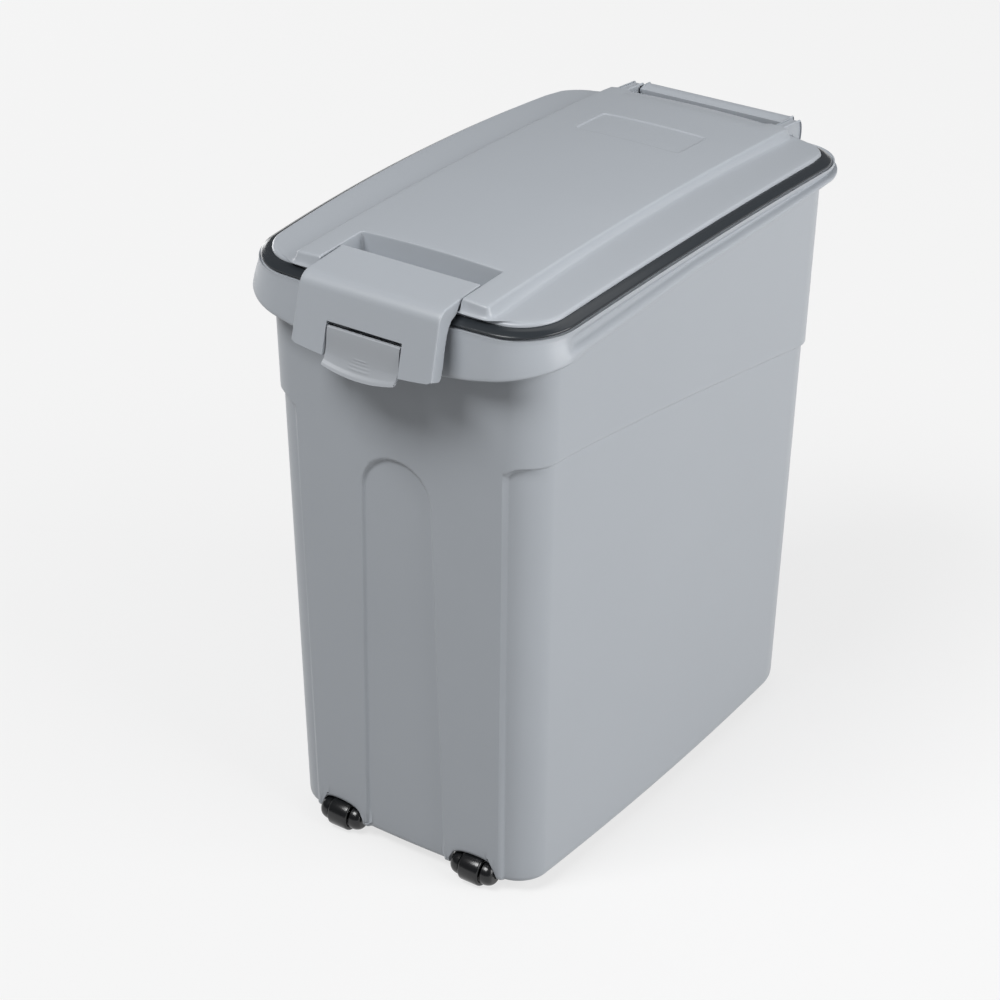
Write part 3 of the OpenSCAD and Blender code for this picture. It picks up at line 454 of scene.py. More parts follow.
def build_bin(size, lid, finish):
    """The bin in one skin: up the inner wall, over the rim, down the skirt and under it to the outer
    wall, round the foot and across the underside."""
    x_front, cols = body_columns()
    count = len(cols[2])
    rings = []

    def add(x, y, z):
        x, y, z = (np.broadcast_to(np.asarray(v, float), np.broadcast_shapes(np.shape(x), np.shape(z)))
                   for v in (x, y, z))
        rings.append(np.stack(clear_of_ears(x, y, z), -1).reshape(-1, count, 3))

    def wall(z, off):
        x, y = body_ring(cols, x_front, z, off, size)
        return x, y, z

    def floor_rings(z, off, shares):
        x, y, _ = wall(z, off)
        for share in shares:
            add(x * share, y * share, z)

    # inside: floor, fillet and wall
    bottom, fillet = FLOOR_Z + size.wall, 12.0
    floor_rings(bottom, -size.wall - fillet, (0.35, 0.7))
    for turn in np.radians(np.linspace(0, 90, 7)):
        add(*wall(bottom + fillet * (1 - np.cos(turn)), -size.wall - fillet * (1 - np.sin(turn))))
    for z in spread((60, size.height - size.wall - 3, 44)):
        add(*wall(z, -size.wall))

    # the rim's top, with its outer part and the skirt kept just outside the wall at the back
    wall_y = wall(size.height - 4, size.step_out)[1]
    rim = rim_columns(cols, x_front, size)
    facing_back = np.sin(rim[3]) > 0.02

    def rim_point(off, clear):
        x, y = lid_outline(rim, lid, off)
        return x, np.where(facing_back, np.maximum(y, wall_y + clear), y)

    def top(y, drop=0.0):
        return size.height + lid_arch(y, lid) - drop

    for off, drop in ((-RIM_REACH, size.wall), (-RIM_REACH, RIM_CHAMFER), (-RIM_REACH + RIM_CHAMFER, 0.0)):
        x, y = lid_outline(rim, lid, off)
        add(x, y, top(y, drop))
    # the gutter is deepest at its inner side and rises as a quarter round to the rim's outer edge
    out, clear = lid.ring_out, 1.3
    for inset in (3.0, GUTTER, GUTTER * 0.62, GUTTER * 0.29, GUTTER * 0.08, 0.0):
        x, y = rim_point(out + BEAD - inset, clear - inset)
        add(x, y, top(y, edge_drop(GUTTER - inset, GUTTER) if inset <= GUTTER else 0.0))

    # the skirt, its round lip and its inner side
    x, y = rim_point(out, clear)
    low, high = skirt_low(x, y, size, lid), top(y, 2.1)
    along = ease((y - SIDE_FROM) / SIDE_BLEND)
    for way in (0, 0.04, 0.08, 0.13, 0.2, 0.3, 0.4, 0.5, 0.56, 0.61, 0.66, 0.71, 0.76, 0.81, 0.86, 0.93, 1):
        sx, sy = rim_point(out + skirt_reach(way, x, along, size), clear + 0.05)
        add(sx, sy, high + (low + LIP_R - high) * way)
    flare = skirt_reach(1.0, x, along, size)
    for turn in np.radians([30, 60, 90, 120, 150, 180]):
        sx, sy = rim_point(out + flare - LIP_R * (1 - np.cos(turn)), clear + 0.1 - 0.4 * (1 - np.cos(turn)))
        add(sx, sy, low + LIP_R * (1 - np.sin(turn)))
    inner, inner_top, clear_inside = -size.skirt_wall - (HOLLOW - 0.3) * along, 0.6, 0.4
    for way in (0.1, 0.3, inner_top):
        reach = (flare - 2 * LIP_R) * (1 - way / inner_top) + inner * way / inner_top
        sx, sy = rim_point(out + reach, clear_inside)
        add(sx, sy, low + LIP_R + (high - low - LIP_R) * way)
    sx, sy = rim_point(out + inner, clear_inside)
    add(sx, sy, top(sy, size.wall))

    # the outer wall, with its rows drawn along the step line and crowded about it
    rows = spread((4, 40, 9), (40, 236, 28), (236, 276, 1.15), (276, 284, 0.8), (284, 296, 0.55),
                  (296, 340, 11), (340, size.height - 5, 7))[::-1]
    _, y0, _ = wall(np.full((1, count), size.step_front), 0.0)
    drop = step_height(y0, size) - size.step_front
    follow = np.interp(rows, [60, 270, 296, 345], [0, 1, 1, 0])[:, None]
    z = rows[:, None] + drop * follow
    x, y, _ = wall(z, 0.0)
    share = step_share(x, y, z, size)
    z = z + wheel_gap(x, y) * np.clip(1 - z / GAP_FADE, 0, 1)
    add(*wall(z, size.step_out * share))

    # the foot's round edge, its inner side and the underside of the floor
    foot_z = 4.0
    x, y, _ = wall(np.full((1, count), foot_z), 0.0)
    foot_share = step_share(x, y, np.full_like(x, foot_z), size)
    gap = wheel_gap(x, y)
    for z0, back in ((2.4, 0.15), (1.2, 0.5), (0.4, 0.95), (0.0, 1.5)):
        add(*wall(z0 + gap * (1 - z0 / GAP_FADE), size.step_out * foot_share - back))
    for z0, back in ((0.0, -0.4), (0.6, 0.0), (FLOOR_Z - 0.8, 0.0), (FLOOR_Z, 0.0)):
        add(*wall(np.maximum(z0, np.minimum(gap + 0.2 * z0, FLOOR_Z)), -size.wall - back))
    floor_rings(FLOOR_Z, -size.wall, (0.7, 0.35))

    grid = np.concatenate(rings, 0)
    points = np.concatenate([grid.reshape(-1, 3), [[0, 0, bottom], [0, 0, FLOOR_Z]]])
    index = np.arange(grid.shape[0] * count).reshape(-1, count)
    faces = [quads(index, closed_columns=True), fan(index[0][::-1], len(points) - 2),
             fan(index[-1], len(points) - 1)]
    return make_piece("bin_shell", points, faces, finish, "bin", ["bin_body"], crease=50)


def rim_columns(cols, x_front, size):
    """The body's columns for the rim: those of the front stretch keep their share of the width."""
    share = cols[2].copy()
    tangent = size.foot_w / 2 + DRAFT * size.height - size.corner_front
    share[:len(x_front)] = 0.5 + np.clip(x_front / FRONT_COLUMNS * tangent, -tangent, tangent) / (2 * tangent)
    return cols[0], cols[1], share, cols[3]


def slab(name, outline, x0, x1, edge, finish, body, turns=4):
    """A side view in Y and Z carried from x0 to x1, with its two outer edges rounded: the outline is
    drawn in by the quarter round along each point's own normal."""
    outline = np.asarray(outline, float)
    ahead, behind = np.roll(outline, -1, 0) - outline, outline - np.roll(outline, 1, 0)
    ahead /= np.linalg.norm(ahead, axis=1)[:, None]
    behind /= np.linalg.norm(behind, axis=1)[:, None]
    normal = np.stack([ahead[:, 1] + behind[:, 1], -ahead[:, 0] - behind[:, 0]], 1)
    area = np.sum(outline[:, 0] * np.roll(outline[:, 1], -1) - outline[:, 1] * np.roll(outline[:, 0], -1))
    normal *= np.sign(area) / np.maximum(np.linalg.norm(normal, axis=1), 0.3)[:, None]
    rings = []
    for x, sign in ((x0, 1), (x1, -1)):
        bend = np.linspace(0, np.pi / 2, turns)[::sign]
        for t in bend:
            flat = outline - normal * edge * (1 - np.cos(t))
            rings.append(np.column_stack([np.full(len(flat), x + sign * edge * (1 - np.sin(t))), flat]))
    grid = np.array(rings)
    index = np.arange(grid.shape[0] * grid.shape[1]).reshape(grid.shape[:2])
    faces = [quads(index, closed_columns=True), index[:1, ::-1], index[-1:]]
    return make_piece(name, grid.reshape(-1, 3), faces, finish, body, crease=30)


def arc(cy, cz, radius, start, end, count):
    """Points of a circle's arc in Y and Z, from one angle to another in degrees."""
    turn = np.radians(np.linspace(start, end, count))
    return np.column_stack([cy + radius * np.cos(turn), cz + radius * np.sin(turn)])


def build_hinge_beam(size, finish):
    """The beam behind the rim in three lengths, the seats under the lid's ears between them, and the bar
    that stands on it: flat on top, with a small round brow in front over a hollow."""
    back, top, in_wall = HINGE_Y - 1.6, size.height - 1.2, 169.0
    low, foot = top - 21, top - 43
    web = [[back, low], [in_wall + 3.5, low - 9], [in_wall, foot]]
    beam = np.concatenate([
        [[in_wall, top], [back - 1.2, top]], arc(back - 1.2, top - 1.2, 1.2, 60, 0, 3), web])
    half, outside, between = 66.6, 62.9, 54.3
    for name, x0, x1 in (("left", -half, -outside), ("middle", -between, between), ("right", outside, half)):
        slab("hinge_beam_" + name, beam, x0, x1, 0.6, finish, "bin", turns=3)
    seat = np.concatenate([[[in_wall, top - 0.4]], arc(HINGE_Y, HINGE_Z, EAR_SPACE_R, 208, 258, 10), web])
    near, far = EAR_SPACE_IN - 0.2, EAR_SPACE_OUT + 0.2
    for name, x0, x1 in (("left", -far, -near), ("right", near, far)):
        slab("ear_seat_" + name, seat[::-1], x0, x1, 0.05, finish, "bin", turns=2)
    bar_r, deep = 7.5, 12.0
    crown = np.concatenate([
        arc(bar_r - 2, bar_r - 2, 2, 0, 90, 6), [[-1, bar_r]], arc(-4.0, 5.4, 1.0, 75, 180, 6),
        [[-4.3, 1.5], [-3.6, -2.5], [-bar_r, -5.5], [-bar_r, -deep], [-4, -deep - 6]]])
    bar = np.concatenate([
        crown + (HINGE_Y, HINGE_Z), [[back - 4, (low + foot) / 2]],
        [[HINGE_Y + bar_r - 0.5, HINGE_Z - deep - 0.8], [HINGE_Y + bar_r, HINGE_Z - deep]]])
    slab("hinge_bar", bar, -between, between, 0.8, finish, "bin")


def build_catch(size, finish):
    """The ledge under the latch that the button's hooks snap beneath."""
    y, z, half, lip, deep, high = -187.8, size.height - 22.3, 20, 1.8, 5.4, 7
    ledge = [[y, z], [y, z + lip], [y + deep, z + high], [y + deep, z]]
    slab("catch_ledge", ledge, -half, half, 0.3, finish, "bin", turns=2)


def build_underside(size, finish):
    """The ribs under the floor, three along it and three across."""
    low, high, half = 6.0, FLOOR_Z + 0.5, 1.0
    x, y = size.foot_w / 2 - 6, size.foot_d / 2 - 12
    for k, s in enumerate((-22, 0, 22)):
        block(f"floor_rib_long_{k}", (s - half, -y, low), (s + half, y, high), finish)
    for k, s in enumerate((-60, 0, 60)):
        block(f"floor_rib_cross_{k}", (-x, s - half, low), (x, s + half, high), finish)


def block(name, low, high, finish):
    """A thin moulded rib with its lower edges rounded."""
    outline = [[low[1], low[2]], [high[1], low[2]], [high[1], high[2]], [low[1], high[2]]]
    slab(name, outline, low[0], high[0], 0.4, finish, "bin", turns=2)


# ---- lid -----------------------------------------------------------------------------------

# the raised panel's ends and the radii of its front and rear corners
PANEL_FRONT, PANEL_REAR = -173.9, 156.0
PANEL_CORNERS = (2.2, 3.6)
# how far the panel's brow turns down before the wall takes over
BROW_TURN = np.radians(66.0)
# the latch pocket's ends and the height of its floor, and the middle of the plain recess
POCKET_FRONT, POCKET_BACK, POCKET_FLOOR = -165.0, -134.5, 377.2
RECESS_Y = 86.0
# a place far in front of the lid, since the pocket is open to the front
OPEN_FRONT = -300.0
# height of the lid's underside at its ends, and of the open sill in front of the pocket over its top
LID_UNDER, SILL = 378.65, 0.6


def panel_height(x, y, lid):
    """The raised panel's surface: a parabola along the depth, less a crown across the width."""
    return LID_UNDER + lid.skin + 12.8 - 0.000144 * (y + 10) ** 2 - 2.4 * (x / lid.panel_half) ** 2


def box_distance(x, y, half_x, low_y, high_y, radius):
    """Signed distance to a rounded rectangle's border, negative inside."""
    qx = np.abs(x) - half_x + radius
    qy = np.abs(y - (low_y + high_y) / 2) - (high_y - low_y) / 2 + radius
    return np.hypot(np.maximum(qx, 0), np.maximum(qy, 0)) + np.minimum(np.maximum(qx, qy), 0) - radius


def lid_top(x, y, lid):
    """Height of the lid's panel: its surface, with the brow at its outer edge, an eased fall between the
    ears at the rear, the plain recess with eased sides, and the latch pocket with a round top edge,
    steep walls and a small fillet at its floor. In front of the pocket the panel is open down to just
    above the plate."""
    edge = lid.panel_edge
    z = panel_height(x, y, lid)
    inset = -box_distance(x, y, lid.panel_half, PANEL_FRONT, PANEL_REAR, np.where(y < 0, *PANEL_CORNERS))
    rear_fall, fall_from, fall_half, fall_ramp = 1.7, 10.0, 48.0, 6.5
    z = z - rear_fall * ease((y - PANEL_REAR + fall_from) / fall_from) * (
        1 - ease((np.abs(x) - fall_half) / fall_ramp))
    recess = box_distance(x, y - RECESS_Y, lid.recess_w / 2, -lid.recess_l / 2, lid.recess_l / 2, 3.0)
    z = z - lid.recess_deep * ease(0.5 - recess / 0.9)
    pocket = box_distance(x, y, lid.pocket_half, OPEN_FRONT, POCKET_BACK, 1.5)
    in_front = y < POCKET_FRONT - 0.05
    sill, fillet = LID_UNDER + lid.skin + SILL, 1.2
    floor = np.where(in_front, sill, POCKET_FLOOR + edge_drop(fillet + pocket, fillet) * (pocket > -fillet))
    return np.where(pocket < -0.02, floor, z - brow_drop(inset, edge) - edge_drop(pocket, 1.0))


def brow_drop(inset, reach):
    """Fall of the panel's rounded brow: an arc as wide as reach that has turned to BROW_TURN where the
    wall takes over."""
    radius = reach / np.sin(BROW_TURN)
    return radius - np.sqrt(radius ** 2 - (reach - np.clip(inset, 0, reach)) ** 2)


def patch_grid(xs, ys, half_x, low_y, high_y, r_front, r_rear):
    """A grid of points whose outer border is a rounded rectangle: in each corner's square, the square is
    bent to a quarter disc, with x' = x sqrt(1 - y squared / 2) and y' likewise."""
    x, y = np.meshgrid(xs, ys)
    for sx in (-1, 1):
        for sy, radius, edge_y in ((-1, r_front, low_y), (1, r_rear, high_y)):
            u = (sx * x - (half_x - radius)) / radius
            v = (sy * (y - edge_y) + radius) / radius
            inside = (u > 0) & (v > 0)
            uu, vv = np.clip(u, 0, 1), np.clip(v, 0, 1)
            bent_u = uu * np.sqrt(1 - vv ** 2 / 2)
            bent_v = vv * np.sqrt(1 - uu ** 2 / 2)
            x = np.where(inside, sx * (half_x - radius + radius * bent_u), x)
            y = np.where(inside, edge_y + sy * (radius * bent_v - radius), y)
    return x, y


def border(grid):
    """The outer loop of a grid, counter-clockwise from its front left corner."""
    return np.concatenate([grid[0, :-1], grid[:-1, -1], grid[-1, :0:-1], grid[:0:-1, 0]])


def loop_columns(x, y, half_x, low_y, high_y, r_front, r_rear):
    """Outline columns for the points of a rounded rectangle's border."""
    radius = np.where(y < 0, r_front, r_rear)
    near_x = np.abs(x) - (half_x - radius)
    near_y = np.where(y < 0, (low_y + r_front) - y, y - (high_y - r_rear))
    corner = (near_x > 1e-6) & (near_y > 1e-6)
    k = np.where(y < 0, np.where(x < 0, 0, 1), np.where(x < 0, 3, 2))
    on_front, on_rear = (y < low_y + 1e-3) & ~corner, (y > high_y - 1e-3) & ~corner
    start = np.select([corner, on_front, on_rear, x > 0], [k, 0, 2, 1], 3)
    end = np.select([corner, on_front, on_rear, x > 0], [k, 1, 3, 2], 0)
    along = (y - low_y - r_front) / (high_y - low_y - r_front - r_rear)
    share = np.select([corner, on_front, on_rear, x > 0],
                      [0 * x, 0.5 + x / (2 * (half_x - r_front)), 0.5 - x / (2 * (half_x - r_rear)), along],
                      1 - along)
    angle = np.select(
        [corner, on_front, on_rear, x > 0],
        [np.arctan2(np.sign(y) * near_y, np.sign(x) * near_x), 0 * x - np.pi / 2, 0 * x + np.pi / 2, 0 * x],
        np.pi)
    return start, end, np.clip(share, 0, 1), angle


def panel_lines(lid):
    """Columns and rows of the panel's grid. They crowd at its brow, at the recess's sides and at the
    pocket's walls."""
    edge, half, pocket, recess_x = lid.panel_edge, lid.panel_half, lid.pocket_half, lid.recess_w / 2
    recess_y0, recess_y1 = RECESS_Y - lid.recess_l / 2, RECESS_Y + lid.recess_l / 2
    right = spread((0, recess_x - 1.5, 6), (recess_x - 1.5, recess_x + 1.5, 0.5), (recess_x + 1.5, 46.5, 2.5),
                   (46.5, pocket - 0.15, 0.5), (pocket - 0.15, pocket, 0.15), (pocket, pocket + 1.0, 0.2),
                   (pocket + 1.0, half - edge, 4), (half - edge, half, 0.28))
    rows = spread((PANEL_FRONT, PANEL_FRONT + edge, 0.28), (PANEL_FRONT + edge, POCKET_FRONT - 0.1, 2),
                  (POCKET_FRONT - 0.1, POCKET_FRONT, 0.1), (POCKET_FRONT, POCKET_BACK - 1.5, 5),
                  (POCKET_BACK - 1.5, POCKET_BACK - 0.15, 0.4), (POCKET_BACK - 0.15, POCKET_BACK, 0.15),
                  (POCKET_BACK, POCKET_BACK + 1.0, 0.2), (POCKET_BACK + 1.0, recess_y0 - 3, 10),
                  (recess_y0 - 3, recess_y0 + 3, 0.6), (recess_y0 + 3, recess_y1 - 3, 7),
                  (recess_y1 - 3, recess_y1 + 3, 0.6), (recess_y1 + 3, PANEL_REAR - edge, 8),
                  (PANEL_REAR - edge, PANEL_REAR, 0.28))
    return np.concatenate([-right[::-1], right[1:]]), rows


def build_lid(lid, finish):
    """The lid in one skin: the panel's grid, its wall and foot, the plate's margin and edge, the
    underside and the hollow under the panel."""
    half, pocket = lid.panel_half, lid.pocket_half
    middle, long = (PANEL_FRONT + PANEL_REAR) / 2, PANEL_REAR - PANEL_FRONT
    gx, gy = patch_grid(*panel_lines(lid), half, PANEL_FRONT, PANEL_REAR, *PANEL_CORNERS)
    gz = lid_top(gx, gy, lid)
    bx, by = border(gx), border(gy)
    cols = loop_columns(bx, by, half, PANEL_FRONT, PANEL_REAR, *PANEL_CORNERS)
    count = len(bx)
    opening = (np.abs(bx) < pocket - 0.1) & (by < PANEL_FRONT + 0.01)
    rings = []

    def panel_ring(off):
        x, y = rounded_outline(cols, 2 * (half + off), long + 2 * off,
                               PANEL_CORNERS[0] + off, PANEL_CORNERS[1] + off, 0.0)
        return x, y + middle

    def add(x, y, z):
        rings.append(np.stack(np.broadcast_arrays(x, y, z), -1))

    def plate(y):
        return LID_UNDER + lid.skin + lid_arch(y, lid)

    # from the panel's border down its sloping wall to the margin; where the margin is narrow, the wall's
    # run and the margin's round edge shrink to the room there is
    wall_run, round_edge, flow, least_room = 3.9, 2.2, 0.5, 0.8
    edge_x, edge_y = lid_outline(cols, lid, 0)
    room = np.hypot(edge_x - bx, edge_y - by)
    tight = np.clip((room - least_room) / wall_run, 0.1, 1.0)
    round_edge = np.clip(0.8 * (room - wall_run * tight), 0.1, round_edge)
    wall_run = wall_run * tight
    z_edge = panel_height(bx, by, lid) - brow_drop(0.0, lid.panel_edge)
    for way in (0.05, 0.11, 0.18, 0.26, 0.35, 0.45, 0.57, 0.7, 0.85):
        x, y = panel_ring(wall_run * way)
        z = plate(y) + flow + (z_edge - plate(y) - flow) * (1 - way) ** 2.8
        add(x, y, np.where(opening, LID_UNDER + lid.skin + SILL - 0.15 * way, z))
    inner_x, inner_y = panel_ring(wall_run)
    outer_x, outer_y = lid_outline(cols, lid, -round_edge)
    for way in np.linspace(0.12, 1, 7):
        x, y = inner_x + (outer_x - inner_x) * way, inner_y + (outer_y - inner_y) * way
        add(x, y, plate(y) + flow * (1 - way ** 2))
    flattened, chamfer_in, chamfer_up = 0.85, 0.3, 0.15
    for turn in np.radians([18, 36, 54, 72, 90]):
        x, y = lid_outline(cols, lid, -round_edge * (1 - np.sin(turn)))
        add(x, y, plate(y) - round_edge * (1 - np.cos(turn)) * flattened)
    for off, up in ((0, chamfer_up), (-chamfer_in, 0.0)):
        x, y = lid_outline(cols, lid, off)
        add(x, y, LID_UNDER + lid_arch(y, lid) + up)
    # the underside and the wall of the hollow
    x, y = panel_ring(-lid.skin)
    add(x, y, LID_UNDER + lid_arch(y, lid))
    ux = gx * (half - lid.skin) / half
    uy = middle + (gy - middle) * (long - 2 * lid.skin) / long
    tray = box_distance(ux, uy, pocket + lid.skin, OPEN_FRONT, POCKET_BACK + lid.skin, 1.0)
    ceiling = panel_height(ux, uy, lid) - lid.skin
    low_z = np.where(tray < 0, np.minimum(POCKET_FLOOR - lid.skin, ceiling), ceiling)
    grid = np.array(rings)
    upper, n_ring, lower = gx.size, grid.shape[0] * count, gx.size
    points = np.concatenate([
        np.stack([gx, gy, gz], -1).reshape(-1, 3), grid.reshape(-1, 3),
        np.stack([ux, uy, low_z], -1).reshape(-1, 3)])
    top_index = np.arange(upper).reshape(gx.shape)
    ring_index = upper + np.arange(n_ring).reshape(-1, count)
    low_index = upper + n_ring + np.arange(lower).reshape(gx.shape)
    band = np.concatenate([border(top_index)[None], ring_index, border(low_index)[None]], 0)
    faces = [quads(top_index), quads(band, closed_columns=True)[:, ::-1], quads(low_index)[:, ::-1]]
    return make_piece("lid_shell", points, faces, finish, "lid", ["lid"], crease=55)


def build_lid_fittings(lid, finish):
    """The lid's rear ears, which rise out of the panel's back edge and end in an upright half oval round
    the pin, the two lugs in the pocket that carry the flap's pin, and the locating rib under the
    margin."""
    ear_high, ear_back, ear_in, ear_out = 8.2, 3.2, 54.6, 62.6
    ear = (arc(0, 0, 1, -150, 88, 40) * (ear_back, ear_high)).tolist() + [
        [-6, 8.6], [-13, 9.2], [-21, 9.7], [-30, 8.6], [-30, 1.0], [-20, 0.4], [-9, 0.0]]
    ear = np.array(ear) + (HINGE_Y, HINGE_Z)
    for side, x0, x1 in (("left", -ear_out, -ear_in), ("right", ear_in, ear_out)):
        slab("hinge_ear_" + side, ear, x0, x1, 1.0, finish, "lid")
    lug_r, lug_x, lug_half, root = 2.1, 34.0, 3.5, POCKET_FLOOR - 0.5
    lug = np.concatenate([
        arc(FLAP_PIN_Y, FLAP_PIN_Z, lug_r, -60, 180, 22),
        [[FLAP_PIN_Y - lug_r - 1.0, FLAP_PIN_Z - 1.4], [FLAP_PIN_Y - lug_r - 1.4, root],
         [FLAP_PIN_Y - 0.5, root]]])
    for side, x in (("left", -lug_x), ("right", lug_x)):
        slab("pocket_lug_" + side, lug, x - lug_half, x + lug_half, 0.3, finish, "lid", turns=2)
    off, width, deep, chamfer, root = -8.5, 1.8, 7.0, 0.5, 0.8
    rib = [(off, -deep + chamfer), (off, root), (off - width, root), (off - width, -deep + chamfer),
           (off - width + chamfer, -deep), (off - chamfer, -deep)]
    ring_sweep("locating_rib", rib, LID_UNDER, lid, finish)


def ring_sweep(name, profile, base_z, lid, finish, stands_for=()):
    """A closed profile of (offset, height) carried round the lid's outline along its arch."""
    cols = outline_columns(spread((0, 1, 0.025)), spread((0, 1, 0.014)), spread((0, 1, 0.025)),
                           spread((0, 90, 3)), spread((0, 90, 3)))
    rings = []
    for off, high in profile:
        x, y = lid_outline(cols, lid, off)
        rings.append(np.stack([x, y, base_z + high + lid_arch(y, lid)], -1))
    grid = np.array(rings)
    index = np.arange(grid.shape[0] * grid.shape[1]).reshape(grid.shape[:2])
    return make_piece(name, grid.reshape(-1, 3), [quads(index, True, True)], finish, "lid", stands_for,
                      crease=40)


def build_ring(size, lid, finish):
    """The sealing ring: a round nose, a shallow fall from its rounded upper side, and a flat root."""
    base = size.height + 0.5
    out, height, nose_r, nose_half = lid.ring_out - 0.9, lid.ring_h - 0.2, 0.9, 0.95
    nose = [(out - nose_r + nose_r * np.sin(t), nose_half - nose_half * np.cos(t))
            for t in np.radians([0, 30, 60, 90, 115, 140])]
    profile = [(-lid.ring_in, 0.0), (out - 4, 0.0)] + nose + [
        (out - 1.4, 2.15), (out - 2.1, 2.6), (out - 3.0, 3.1), (out - 4.2, height - 0.4),
        (out - 5.4, height - 0.1), (out - 6.6, height), (-lid.ring_in, height)]
    return ring_sweep("sealing_ring", profile, base, lid, finish, ["lid_gasket"])


# ---- latch -----------------------------------------------------------------------------------

# the flap's pin, the rear end of its outer side, and a point on its face's line
FLAP_PIN_Y, FLAP_PIN_Z = -159.5, 384.6
FLAP_TAIL_Y, FLAP_TAIL_Z = -154.9, 389.4
FACE_TOP_Y, FACE_TOP_Z = -191.8, 388.6
# how far its top falls towards the front, and its face leans out towards the foot
FLAP_DIP, FACE_LEAN = np.radians(5.0), np.radians(14.5)
BUTTON_PIN_Y, BUTTON_PIN_Z = -192.1, 356.5
# the flange's back edge in Y and Z, with the lengths from the tail at which the flange reaches it
FLANGE_BACK = np.array([
    [0, -154.9, 388.0], [16, -170.9, 386.4], [20, -174.8, 385.0], [23, -177.8, 380.4],
    [28.5, -182.7, 377.9], [35, -185.2, 374.5], [43, -186.9, 371.0], [55, -188.9, 365.0],
    [66, -191.2, 354.5], [72, -192.9, 349.0], [75.2, -194.0, 345.6]])


def face_y(z):
    """The line of the flap's face, seen from the side."""
    return FACE_TOP_Y - (FACE_TOP_Z - z) * np.tan(FACE_LEAN)


def flap_turn(bend):
    """The bend's angle and the length from the tail to its start: the tail's line and the face's line
    meet in a point, and the bend starts its own tangent length before it."""
    fall, lean = np.tan(FLAP_DIP), np.tan(FACE_LEAN)
    corner_y = (FACE_TOP_Y - (FACE_TOP_Z - FLAP_TAIL_Z) * lean - fall * lean * FLAP_TAIL_Y) / (1 - fall * lean)
    turn = np.pi / 2 - FACE_LEAN - FLAP_DIP
    return turn, (FLAP_TAIL_Y - corner_y) / np.cos(FLAP_DIP) - bend * np.tan(turn / 2)


def flap_profile(s, bend):
    """Outer line of the flap in Y and Z, and its outward normal, at a length s from the tail: down the
    gentle fall of its top, round the bend, then straight down the leaning face."""
    turn, flat = flap_turn(bend)
    t = FLAP_DIP + np.clip((s - flat) / bend, 0, turn)
    level, down = np.minimum(s, flat), np.maximum(s - flat - bend * turn, 0)
    y = FLAP_TAIL_Y - level * np.cos(FLAP_DIP) - bend * (np.sin(t) - np.sin(FLAP_DIP)) - down * np.sin(FACE_LEAN)
    z = FLAP_TAIL_Z - level * np.sin(FLAP_DIP) + bend * (np.cos(t) - np.cos(FLAP_DIP)) - down * np.cos(FACE_LEAN)
    return y, z, -np.sin(t), np.cos(t)


def face_length(z, bend):
    """Length along the flap's outer line to a height z on its face."""
    turn, flat = flap_turn(bend)
    end_z = FLAP_TAIL_Z - flat * np.sin(FLAP_DIP) + bend * (np.sin(FACE_LEAN) - np.cos(FLAP_DIP))
    return flat + bend * turn + (end_z - z) / np.cos(FACE_LEAN)


def thick_sheet(name, outer, inner, keep, finish, body, stands_for):
    """A solid between two grids of points. Cells that aren't kept are left open, and a wall joins the
    grids along every border between a kept cell and an open one."""
    rows, count = outer.shape[:2]
    top = np.arange(rows * count).reshape(rows, count)
    low = top + rows * count
    kept = np.pad(keep, 1)
    faces = [quads(top)[keep.ravel()], quads(low)[keep.ravel()][:, ::-1]]
    borders = (
        (kept[1:-1, 1:-1] & ~kept[:-2, 1:-1], top[:-1, 1:], top[:-1, :-1], low[:-1, 1:], low[:-1, :-1]),
        (kept[1:-1, 1:-1] & ~kept[2:, 1:-1], top[1:, :-1], top[1:, 1:], low[1:, :-1], low[1:, 1:]),
        (kept[1:-1, 1:-1] & ~kept[1:-1, :-2], top[:-1, :-1], top[1:, :-1], low[:-1, :-1], low[1:, :-1]),
        (kept[1:-1, 1:-1] & ~kept[1:-1, 2:], top[1:, 1:], top[:-1, 1:], low[1:, 1:], low[:-1, 1:]))
    for where, a, b, c, d in borders:
        faces.append(np.stack([a[where], c[where], d[where], b[where]], -1))
    points = np.concatenate([outer.reshape(-1, 3), inner.reshape(-1, 3)])
    used = np.unique(np.concatenate([f.ravel() for f in faces]))
    renumber = np.zeros(len(points), int)
    renumber[used] = np.arange(len(used))
    return make_piece(name, points[used], [renumber[f] for f in faces], finish, body, stands_for, crease=40)


